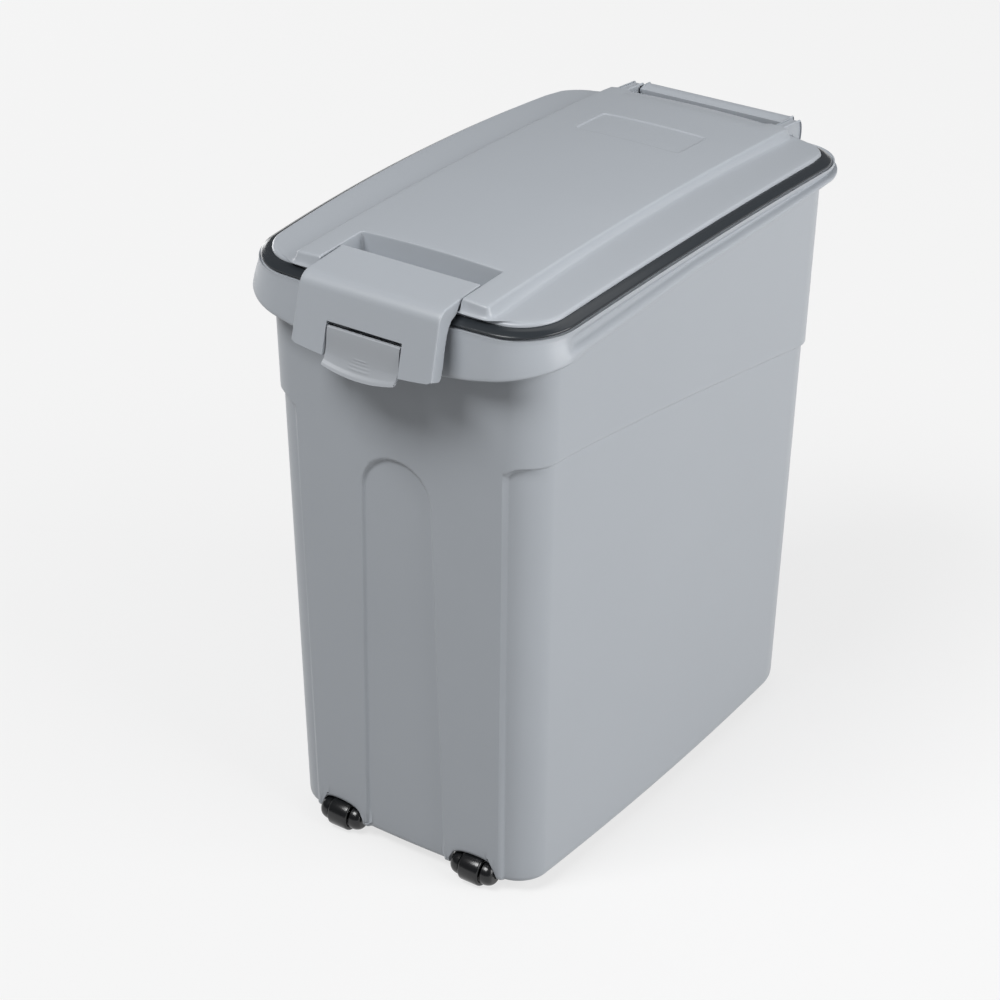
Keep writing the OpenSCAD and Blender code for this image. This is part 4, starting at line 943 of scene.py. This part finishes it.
def build_flap(latch, size, finish):
    """The flap: a U across its width, carried down its bent profile, with round lower corners, a bowed
    lower edge and the button's cut-out; the barrel and the knuckles on its pin, and the two bosses for
    the button's pin."""
    cut_top = size.height - latch.button_drop + latch.button_slot
    cut_half = latch.button_half + latch.button_gap
    low_z = size.height - latch.low
    s_cut, s_low = face_length(cut_top, latch.bend), face_length(low_z, latch.bend)
    turn_all, flat = flap_turn(latch.bend)
    s_bend = flat + latch.bend * turn_all
    rows = spread((0, 16, 2.2), (16, flat, 1.0), (flat, s_bend, 0.7), (s_bend, s_cut, 1.3), (s_cut, s_low, 1.25))
    # columns: the flange's depth, the rounded edge, the face
    edge, side = 1.0, 2.3
    face = spread((0, cut_half - 2, 2.4), (cut_half - 2, cut_half, 1), (cut_half, latch.half_top - edge, 2.0))
    across = np.concatenate([-face[::-1], face[1:]]) / (latch.half_top - edge)
    bends = np.radians([15, 30, 45, 60, 75, 90])
    flange = np.array([0.3, 0.6, 0.74, 0.84, 0.91, 0.96, 0.99, 1.0])
    sides, upright = np.ones(len(flange) + len(bends)), np.full(len(flange), np.pi / 2)
    width = np.concatenate([-sides, across, sides])
    turn = np.concatenate([upright, bends[::-1], 0 * across, bends, upright])
    depth_share = np.concatenate([flange[::-1], 0 * bends, 0 * across, 0 * bends, flange])
    is_face = turn == 0
    # each column ends at the bowed lower edge, less the round of the face's and the flange's corners
    corner, flange_corner, flange_deep = 1.0, 2.6, 9.0
    to_edge = np.clip((1 - np.abs(width)) * latch.half_low, 0, corner)
    s_end = s_low - latch.low_bow * width ** 2 - edge_drop(to_edge, corner)
    s_end = s_end - edge_drop((1 - depth_share) * flange_deep, flange_corner)
    s = np.where(rows[:, None] <= s_cut, rows[:, None],
                 s_cut + (rows[:, None] - s_cut) * (s_end - s_cut) / (s_low - s_cut))
    y, z, ny, nz = flap_profile(s, latch.bend)
    half = latch.half_top + (latch.half_low - latch.half_top) * (FLAP_TAIL_Z - z) / (FLAP_TAIL_Z - low_z)
    back_y, back_z = (np.interp(s, FLANGE_BACK[:, 0], FLANGE_BACK[:, k]) for k in (1, 2))

    def shell(in_face, in_side):
        reach = max(edge - max(in_face, in_side), 0.25)
        limit = half - in_side - reach
        x = np.where(is_face, np.clip(width * (half - edge), -limit, limit),
                     np.sign(width) * (limit + reach * np.sin(turn)))
        back = in_face + np.where(is_face, 0.0, reach * (1 - np.cos(turn)))
        start_y, start_z = y - ny * back, z - nz * back
        return np.stack(np.broadcast_arrays(x, start_y + (back_y - start_y) * depth_share,
                                            start_z + (back_z - start_z) * depth_share), -1)

    outer, inner = shell(0.0, 0.0), shell(latch.skin, side)
    middle_s = (rows[:-1] + rows[1:]) / 2
    column_x = np.where(is_face, width * (latch.half_top - edge), np.sign(width) * latch.half_top)
    middle_x = (column_x[:-1] + column_x[1:]) / 2
    keep = ~((middle_s[:, None] > s_cut) & (np.abs(middle_x)[None] < cut_half))
    flap = thick_sheet("latch_cover", outer, inner, keep, finish, "latch", ["latch_flap"])
    soften(flap)
    barrel_half, knuckle_in, knuckle_out, barrel_r = 29.7, 38.3, 46.1, 4.0
    for name, x0, x1 in (("flap_barrel", -barrel_half, barrel_half), ("flap_knuckle_left", -knuckle_out, -knuckle_in),
                         ("flap_knuckle_right", knuckle_in, knuckle_out)):
        slab(name, arc(FLAP_PIN_Y, FLAP_PIN_Z, barrel_r, 0, 350, 36), x0, x1, 0.4, finish, "latch",
             turns=3)
    boss_x, boss_half = 29.3, 2.4
    for name, x in (("button_boss_left", -boss_x), ("button_boss_right", boss_x)):
        pin_lug(name, x - boss_half, x + boss_half, 3.2, 1.6, finish, "latch")


def pin_lug(name, x0, x1, radius, inset, finish, body):
    """A lug round the button's pin that runs forward to a depth of inset behind the face."""
    y, z = BUTTON_PIN_Y, BUTTON_PIN_Z
    outline = np.concatenate([
        arc(y, z, radius, -90, 90, 18),
        [[face_y(z + radius) + inset, z + radius], [face_y(z - radius) + inset, z - radius]]])
    slab(name, outline, x0, x1, 0.3, finish, body, turns=3)


def build_button(latch, size, finish):
    """The release button: a plate that sinks behind the flap's face as an eased scoop, sweeps out to a
    bowed lip with a bead along its edge, and has four short grip ribs across the sweep; its sleeves on
    the pin and its two hooks."""
    top = size.height - latch.button_drop
    half, fold = latch.button_half, 0.70
    rows = spread((0, 1.2, 0.3), (1.2, 12, 1.3), (12, latch.button_h, 0.35))
    xs = spread((-half, -half + 1.2, 0.3), (-half + 1.2, half - 1.2, 1.1), (half - 1.2, half, 0.3))
    u = xs[None] / half
    way = rows[:, None] / latch.button_h
    down = rows[:, None] + latch.lip_bow * (1 - u ** 2) * way ** 2
    sweep = np.clip((way - fold) / (1 - fold), 0, 1)
    bead_high, bead_from, bead_ramp, lip_proud = 0.8, 2.3, 1.1, 0.3
    bead = bead_high * ease((rows[:, None] - latch.button_h + bead_from) / bead_ramp)
    scoop = latch.scoop * ease(way / fold) - (latch.scoop + lip_proud) * sweep ** 1.4 - bead
    rib_high, rib_width, rib_end = 0.27, 0.34, 0.06
    ribs = 0
    for at, reach in ((0.62, 0.2), (0.69, 0.25), (0.76, 0.29), (0.83, 0.29)):
        along = ease((reach - np.abs(u + 0.03)) / rib_end)
        ribs = ribs + rib_high * along * np.exp(-((way - at) * latch.button_h / rib_width) ** 2)
    z = top - down
    x = np.broadcast_to(xs, z.shape)
    outer_in = scoop + edge_drop(rows, 0.6)[:, None] - ribs
    skin = latch.button_skin
    inner_in = scoop + np.interp(way, [0, 0.03, 0.14, 0.6, 1], [1.3, 1.3, skin, skin - 0.8, 2.0])
    outer, inner = (np.stack([x, face_y(z) + depth / np.cos(FACE_LEAN), z], -1) for depth in (outer_in, inner_in))
    keep = np.ones((len(rows) - 1, len(xs) - 1), bool)
    button = thick_sheet("button_plate", outer, inner, keep, finish, "button", ["release_button"])
    soften(button)
    sleeve_in, sleeve_out = 6.0, half - 0.4
    for name, x0, x1 in (("left", -sleeve_out, -sleeve_in), ("right", sleeve_in, sleeve_out)):
        pin_lug("button_sleeve_" + name, x0, x1, 2.8, 2.6, finish, "button")
    catch_z, nose_y = BUTTON_PIN_Z - 4.5, -188.3
    hook = [[face_y(catch_z) + 3.4, catch_z + 1], [face_y(catch_z - 7) + 3.8, catch_z - 7],
            [nose_y - 3, catch_z - 5.5], [nose_y, catch_z - 2.2], [nose_y, catch_z - 0.6],
            [BUTTON_PIN_Y + 1.6, catch_z + 2.4], [BUTTON_PIN_Y - 1, BUTTON_PIN_Z]]
    hook_in, hook_out = 8, 18
    for name, x0, x1 in (("left", -hook_out, -hook_in), ("right", hook_in, hook_out)):
        slab("button_hook_" + name, hook, x0, x1, 0.3, finish, "button", turns=2)


# ---- casters ------------------------------------------------------------------------------

CASTER_X, CASTER_FRONT_Y, CASTER_REAR_Y = 50.5, -161.6, 143.0
ROLLER_R, ROLLER_HALF = 10.0, 7.5
CASTERS = {"fl": (-1, CASTER_FRONT_Y), "fr": (1, CASTER_FRONT_Y), "rl": (-1, CASTER_REAR_Y),
           "rr": (1, CASTER_REAR_Y)}


def build_rollers(finish):
    """Each roller: a wheel with rounded shoulders and a shallow dish in each side."""
    shoulder, dish = 1.4, ROLLER_HALF - 0.2
    profile = [(-ROLLER_HALF, 2.05), (-ROLLER_HALF, 3.4), (-6.9, 3.9), (-6.6, 6.6), (-7.0, 7.2), (-dish, 8.4)]
    profile += [(shoulder * (1 - np.cos(t)) - dish, ROLLER_R - shoulder * (1 - np.sin(t)))
                for t in np.radians([15, 40, 65, 90])]
    half = np.array(profile)
    both = np.concatenate([half, [[0, ROLLER_R]], half[::-1] * (-1, 1)])
    for corner, (side, y) in CASTERS.items():
        turned(f"roller_{corner}", both, side * CASTER_X, y, ROLLER_R - LIFT, finish, "roller_" + corner,
               [f"caster_roller_{corner}"])


def build_housings(finish):
    """Each housing: two cheeks like thick buttons beside the roller, the necks over them and the plate
    that the screw passes."""
    inner, outer, round_from, radius, flat_end, bore = 7.8, 15.4, 9.6, 8.0, 4.4, 2.05
    neck_y0, neck_y1, neck_low, plate_y1, plate_low = 3.2, 7.6, 1.0, 20.5, 10.8
    z = ROLLER_R - LIFT
    dome = [(round_from + (outer - round_from) * np.sin(t), flat_end + (radius - flat_end) * np.cos(t))
            for t in np.radians(np.linspace(0, 90, 9))]
    cheek = np.array([(inner, bore), (inner, radius - 0.7), (inner + 0.7, radius)] + dome + [(outer, bore)])

    def side_view(y0, y1, low, way, y):
        return np.array([[y0, low], [y1, low], [y1, FLOOR_Z - z], [y0, FLOOR_Z - z]]) * (way, 1) + (y, z)

    for corner, (side, y) in CASTERS.items():
        way, x = (1 if y < 0 else -1), side * CASTER_X
        neck, plate = side_view(neck_y0, neck_y1, neck_low, way, y), side_view(neck_y0, plate_y1, plate_low, way, y)
        for name, flip in (("left", -1), ("right", 1)):
            turned(f"cheek_{corner}_{name}", cheek * (flip, 1), x, y, z, finish, "bin", [f"caster_housing_{corner}"])
            low, high = sorted((x + flip * (inner + 0.4), x + flip * (outer - 1.2)))
            slab(f"neck_{corner}_{name}", neck, low, high, 0.8, finish, "bin", turns=3)
        slab(f"plate_{corner}", plate, x - outer, x + outer, 0.8, finish, "bin", turns=3)


def turned(name, profile, x, y, z, finish, body, stands_for):
    """A profile of (place along X, radius) turned about an axis along X into a closed ring."""
    count = 64
    turn = np.arange(count) * 2 * np.pi / count
    px = x + profile[:, 0][:, None] + 0 * turn
    grid = np.stack([px, y + profile[:, 1][:, None] * np.cos(turn), z + profile[:, 1][:, None] * np.sin(turn)], -1)
    index = np.arange(grid.shape[0] * count).reshape(-1, count)
    return make_piece(name, grid.reshape(-1, 3), [quads(index, True, True)], finish, body,
                      stands_for)


# ---- materials --------------------------------------------------------------------------------


def add_node(tree, kind, inputs=(), links=(), **settings):
    """Adds a node, sets its settings and input values, and links (socket, input) pairs into it."""
    node = tree.nodes.new(kind)
    for key, value in settings.items():
        setattr(node, key, value)
    for key, value in dict(inputs).items():
        node.inputs[key].default_value = value
    for socket, key in links:
        tree.links.new(socket, node.inputs[key])
    return node


def new_material(name):
    """An empty node material and its tree."""
    material = bpy.data.materials.new(name)
    material.use_nodes = True
    material.node_tree.nodes.clear()
    return material, material.node_tree


def moulded(name, colour, roughness, grain_mm, grain_depth_mm, ior=1.49, spread_of_shade=0.02):
    """A moulded plastic: the fine grain of its mould as bump and as a slight change of roughness, and
    waves of shade some 70 mm long where the melt cooled unevenly."""
    waves_per_metre = 14.0
    material, tree = new_material(name)
    place = add_node(tree, "ShaderNodeTexCoord")
    grain = add_node(tree, "ShaderNodeTexNoise", {"Scale": 1 / (grain_mm * MM), "Detail": 3.0, "Roughness": 0.6},
                     [(place.outputs["Object"], "Vector")])
    wave = add_node(tree, "ShaderNodeTexNoise", {"Scale": waves_per_metre, "Detail": 2.0},
                    [(place.outputs["Object"], "Vector")])
    rough = add_node(tree, "ShaderNodeMapRange", {"To Min": roughness * 0.9, "To Max": roughness * 1.1},
                     [(grain.outputs["Fac"], "Value")])
    dark = [c * (1 - spread_of_shade) for c in colour] + [1]
    light = [min(c * (1 + spread_of_shade), 1) for c in colour] + [1]
    tint = add_node(tree, "ShaderNodeMix", {"A": dark, "B": light}, [(wave.outputs["Fac"], "Factor")],
                    data_type="RGBA")
    bump = add_node(tree, "ShaderNodeBump", {"Strength": 0.5, "Distance": grain_depth_mm * MM},
                    [(grain.outputs["Fac"], "Height")])
    shader = add_node(tree, "ShaderNodeBsdfPrincipled", {"IOR": ior},
                      [(tint.outputs["Result"], "Base Color"), (rough.outputs["Result"], "Roughness"),
                       (bump.outputs["Normal"], "Normal")])
    add_node(tree, "ShaderNodeOutputMaterial", links=[(shader.outputs["BSDF"], "Surface")])
    return material


def satin_polypropylene(finishes):
    """Injection-moulded polypropylene from a satin spark-eroded mould: a soft, broad highlight. The grain
    is drawn 0.5 mm wide, several times the real one, so that it shows at all."""
    return moulded("satin_polypropylene", finishes.shell, 0.36, 0.5, 0.012)


def button_polypropylene(finishes):
    """The same polypropylene a shade darker, and a little duller."""
    return moulded("button_polypropylene", finishes.button, 0.4, 0.45, 0.012)


def moulded_silicone(finishes):
    """Compression-moulded silicone: dark, smooth and fairly glossy, with soft waves 2.4 mm wide that
    break up its highlights."""
    return moulded("moulded_silicone", finishes.ring, 0.2, 2.4, 0.09, ior=1.45, spread_of_shade=0.12)


def glossy_nylon(finishes):
    """Injection-moulded black nylon from a polished mould: small bright highlights, with a faint
    unevenness 0.9 mm wide."""
    return moulded("glossy_nylon", finishes.caster, 0.22, 0.9, 0.01, ior=1.53, spread_of_shade=0.1)


def drawn_steel():
    """Cold-drawn stainless steel rod and wire: grey metal with fine lines round its length."""
    material, tree = new_material("drawn_steel")
    place = add_node(tree, "ShaderNodeTexCoord")
    along = add_node(tree, "ShaderNodeMapping", {"Scale": (3000.0, 120.0, 120.0)},
                     [(place.outputs["Object"], "Vector")])
    lines = add_node(tree, "ShaderNodeTexNoise", {"Scale": 1.0, "Detail": 2.0}, [(along.outputs["Vector"], "Vector")])
    rough = add_node(tree, "ShaderNodeMapRange", {"To Min": 0.22, "To Max": 0.36}, [(lines.outputs["Fac"], "Value")])
    shader = add_node(tree, "ShaderNodeBsdfPrincipled", {"Base Color": (*linear("#b8b8ba"), 1), "Metallic": 1.0},
                      [(rough.outputs["Result"], "Roughness")])
    add_node(tree, "ShaderNodeOutputMaterial", links=[(shader.outputs["BSDF"], "Surface")])
    return material


FINISH_MAKERS = {"satin_polypropylene": satin_polypropylene, "button_polypropylene": button_polypropylene,
                 "moulded_silicone": moulded_silicone, "glossy_nylon": glossy_nylon}


def finish_named(name, finishes):
    """The finish of that name, made once."""
    if name in bpy.data.materials:
        return bpy.data.materials[name]
    return FINISH_MAKERS[name](finishes)


def dress_node(node, material):
    """Gives a carried-over CAD node its finish."""
    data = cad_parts[node].data
    data.materials.clear()
    data.materials.append(material)


# ---- operators ---------------------------------------------------------------------------------


class RICEBIN_OT_bin(Operator):
    """Build the bin's body, rim, hinge beam, catch and floor ribs"""

    bl_idname = "ricebin.bin"
    bl_label = "Bin Body"

    def execute(self, context):
        size, lid = in_mm(context.scene.bin_sizes), in_mm(context.scene.lid_sizes)
        finish = finish_named("satin_polypropylene", context.scene.bin_finishes)
        build_bin(size, lid, finish)
        build_hinge_beam(size, finish)
        build_catch(size, finish)
        build_underside(size, finish)
        return {"FINISHED"}


class RICEBIN_OT_lid(Operator):
    """Build the lid with its raised panel, latch pocket, ears and locating rib"""

    bl_idname = "ricebin.lid"
    bl_label = "Lid"

    def execute(self, context):
        lid = in_mm(context.scene.lid_sizes)
        finish = finish_named("satin_polypropylene", context.scene.bin_finishes)
        build_lid(lid, finish)
        build_lid_fittings(lid, finish)
        return {"FINISHED"}


class RICEBIN_OT_ring(Operator):
    """Build the sealing ring under the lid's edge"""

    bl_idname = "ricebin.ring"
    bl_label = "Sealing Ring"

    def execute(self, context):
        size, lid = in_mm(context.scene.bin_sizes), in_mm(context.scene.lid_sizes)
        build_ring(size, lid, finish_named("moulded_silicone", context.scene.bin_finishes))
        return {"FINISHED"}


class RICEBIN_OT_latch(Operator):
    """Build the latch flap"""

    bl_idname = "ricebin.latch"
    bl_label = "Latch Flap"

    def execute(self, context):
        size, latch = in_mm(context.scene.bin_sizes), in_mm(context.scene.latch_sizes)
        build_flap(latch, size, finish_named("satin_polypropylene", context.scene.bin_finishes))
        return {"FINISHED"}


class RICEBIN_OT_button(Operator):
    """Build the release button"""

    bl_idname = "ricebin.button"
    bl_label = "Release Button"

    def execute(self, context):
        size, latch = in_mm(context.scene.bin_sizes), in_mm(context.scene.latch_sizes)
        build_button(latch, size, finish_named("button_polypropylene", context.scene.bin_finishes))
        return {"FINISHED"}


class RICEBIN_OT_casters(Operator):
    """Build the four rollers and their housings"""

    bl_idname = "ricebin.casters"
    bl_label = "Casters"

    def execute(self, context):
        finish = finish_named("glossy_nylon", context.scene.bin_finishes)
        build_rollers(finish)
        build_housings(finish)
        return {"FINISHED"}


class RICEBIN_OT_fixings(Operator):
    """Dress the pins, axles, screws and the button's spring in drawn steel"""

    bl_idname = "ricebin.fixings"
    bl_label = "Pins and Spring"

    def execute(self, context):
        steel = drawn_steel()
        nodes = ["hinge_pin", "latch_pin", "button_pin", "button_spring", "caster_screws"]
        for node in nodes + ["caster_axle_" + corner for corner in CASTERS]:
            dress_node(node, steel)
        return {"FINISHED"}


class RICEBIN_OT_stage(Operator):
    """Set the floor, the lamps, the world and the camera"""

    bl_idname = "ricebin.stage"
    bl_label = "Studio"

    def execute(self, context):
        build_floor(context.scene.bin_finishes)
        build_lights(context)
        build_camera(context)
        context.scene.view_settings.view_transform = "Standard"
        return {"FINISHED"}


# ---- studio ------------------------------------------------------------------------------------


def build_floor(finishes):
    """A wide floor. To the camera and in reflections it is a mix of matt paint, which takes the shadow,
    and a glow of the background's colour, more of it farther from the middle. To all other rays it is
    dull, so that it sends little light back up."""
    material, tree = new_material("matt_studio_floor")
    path = add_node(tree, "ShaderNodeLightPath")
    place = add_node(tree, "ShaderNodeTexCoord")
    away = add_node(tree, "ShaderNodeVectorMath", operation="LENGTH", links=[(place.outputs["Object"], 0)])
    near, far, glow_near, glow_far = 0.2, 0.75, 0.78, 0.95
    share = add_node(tree, "ShaderNodeMapRange", {"From Min": near, "From Max": far, "To Min": glow_near,
                                                  "To Max": glow_far},
                     [(away.outputs["Value"], "Value")], interpolation_type="SMOOTHSTEP")
    matt = add_node(tree, "ShaderNodeBsdfDiffuse", {"Color": (0.85, 0.85, 0.85, 1)})
    dull = add_node(tree, "ShaderNodeBsdfDiffuse", {"Color": (0.3, 0.3, 0.3, 1)})
    glow = add_node(tree, "ShaderNodeEmission", {"Color": (*finishes.floor, 1), "Strength": 1.0})
    seen = add_node(tree, "ShaderNodeMixShader", links=[
        (share.outputs["Result"], "Fac"), (matt.outputs["BSDF"], 1), (glow.outputs["Emission"], 2)])
    direct = add_node(tree, "ShaderNodeMath", operation="MAXIMUM",
                      links=[(path.outputs["Is Camera Ray"], 0), (path.outputs["Is Glossy Ray"], 1)])
    mix = add_node(tree, "ShaderNodeMixShader",
                   links=[(direct.outputs["Value"], "Fac"), (dull.outputs["BSDF"], 1),
                          (seen.outputs["Shader"], 2)])
    add_node(tree, "ShaderNodeOutputMaterial", links=[(mix.outputs["Shader"], "Surface")])
    reach = 12.0
    mesh = bpy.data.meshes.new("floor")
    corners = np.array([[-1, -1, 0], [1, -1, 0], [1, 1, 0], [-1, 1, 0]]) * reach
    mesh.from_pydata(corners.tolist(), [], [(0, 1, 2, 3)])
    mesh.materials.append(material)
    floor = bpy.data.objects.new("floor", mesh)
    bpy.context.collection.objects.link(floor)


# the soft boxes: name, place in metres, width and height in metres, and power in watts
LAMPS = (
    ("right_box", (1.9, 0.1, 0.95), 1.5, 1.5, 38.0),
    ("front_box", (-0.5, -1.85, 2.9), 1.5, 1.1, 83.5),
    ("top_box", (0.0, 0.9, 1.9), 1.6, 1.0, 4.3),
    ("left_box", (-2.1, 0.7, 0.3), 1.2, 1.0, 14.0),
)
LAMPS_AIM = (0.0, 0.0, 0.25)


def build_lights(context):
    """A world that shows the background's colour to the camera and gives a dim even light, and the soft
    boxes: the main one high over the front, a broad one on the right, and two weak ones over the back
    and low on the left."""
    world = bpy.data.worlds.new("studio")
    context.scene.world = world
    world.use_nodes = True
    tree = world.node_tree
    tree.nodes.clear()
    path = add_node(tree, "ShaderNodeLightPath")
    background = context.scene.bin_finishes.floor
    seen = add_node(tree, "ShaderNodeBackground", {"Color": (*background, 1), "Strength": 1.0})
    light = add_node(tree, "ShaderNodeBackground", {"Color": (0.97, 0.98, 1.0, 1), "Strength": 0.13})
    mix = add_node(tree, "ShaderNodeMixShader",
                   links=[(path.outputs["Is Camera Ray"], "Fac"), (light.outputs["Background"], 1),
                          (seen.outputs["Background"], 2)])
    add_node(tree, "ShaderNodeOutputWorld", links=[(mix.outputs["Shader"], "Surface")])
    for name, place, wide, tall, power in LAMPS:
        data = bpy.data.lights.new(name, "AREA")
        data.shape = "RECTANGLE"
        data.size, data.size_y, data.energy = wide, tall, power
        lamp = bpy.data.objects.new(name, data)
        lamp.location = place
        lamp.rotation_euler = (Vector(LAMPS_AIM) - lamp.location).to_track_quat("-Z", "Y").to_euler()
        context.collection.objects.link(lamp)


def build_camera(context):
    """The camera: a long lens at 35.4 degrees round to the right and 28.7 degrees above the horizon,
    with a small sideways shift."""
    azimuth, elevation = np.radians([35.418, 28.735])
    distance, focal_px, frame_px, middle_px = 1786.06, 2727.96, 1000.0, 463.18
    target = Vector(in_frame([-73.79, 0.0, 146.72]).tolist())
    back = Vector((np.sin(azimuth) * np.cos(elevation), -np.cos(azimuth) * np.cos(elevation), np.sin(elevation)))
    data = bpy.data.cameras.new("camera")
    data.sensor_width = 36.0
    data.lens = focal_px / frame_px * data.sensor_width
    data.shift_x = (frame_px / 2 - middle_px) / frame_px
    camera = bpy.data.objects.new("camera", data)
    camera.location = target + back * distance * MM
    camera.rotation_euler = (-back).to_track_quat("-Z", "Y").to_euler()
    context.collection.objects.link(camera)
    context.scene.camera = camera


class RICEBIN_PT_sidebar(Panel):
    """Lists the bin's pieces and its studio"""

    bl_idname = "RICEBIN_PT_sidebar"
    bl_label = "Rice Bin"
    bl_space_type = "VIEW_3D"
    bl_region_type = "UI"
    bl_category = "Rice Bin"

    def draw(self, context):
        for operator in OPERATORS:
            self.layout.operator(operator.bl_idname)
        for group in ("bin_sizes", "lid_sizes", "latch_sizes", "bin_finishes"):
            box = self.layout.box()
            settings = getattr(context.scene, group)
            for key in settings.__annotations__:
                box.prop(settings, key)


GROUPS = {"bin_sizes": BinSizes, "lid_sizes": LidSizes, "latch_sizes": LatchSizes, "bin_finishes": Finishes}
OPERATORS = (RICEBIN_OT_stage, RICEBIN_OT_bin, RICEBIN_OT_lid, RICEBIN_OT_ring, RICEBIN_OT_latch,
             RICEBIN_OT_button, RICEBIN_OT_casters, RICEBIN_OT_fixings)


def register():
    """Registers the groups, the operators and the panel."""
    for name, group in GROUPS.items():
        bpy.utils.register_class(group)
        setattr(bpy.types.Scene, name, PointerProperty(type=group))
    for operator in OPERATORS:
        bpy.utils.register_class(operator)
    bpy.utils.register_class(RICEBIN_PT_sidebar)


def unregister():
    """Takes them away again."""
    bpy.utils.unregister_class(RICEBIN_PT_sidebar)
    for operator in reversed(OPERATORS):
        bpy.utils.unregister_class(operator)
    for name, group in GROUPS.items():
        delattr(bpy.types.Scene, name)
        bpy.utils.unregister_class(group)


def main():
    register()
    for operator in OPERATORS:
        group, action = operator.bl_idname.split(".")
        getattr(getattr(bpy.ops, group), action)()


if __name__ == "__main__":
    main()
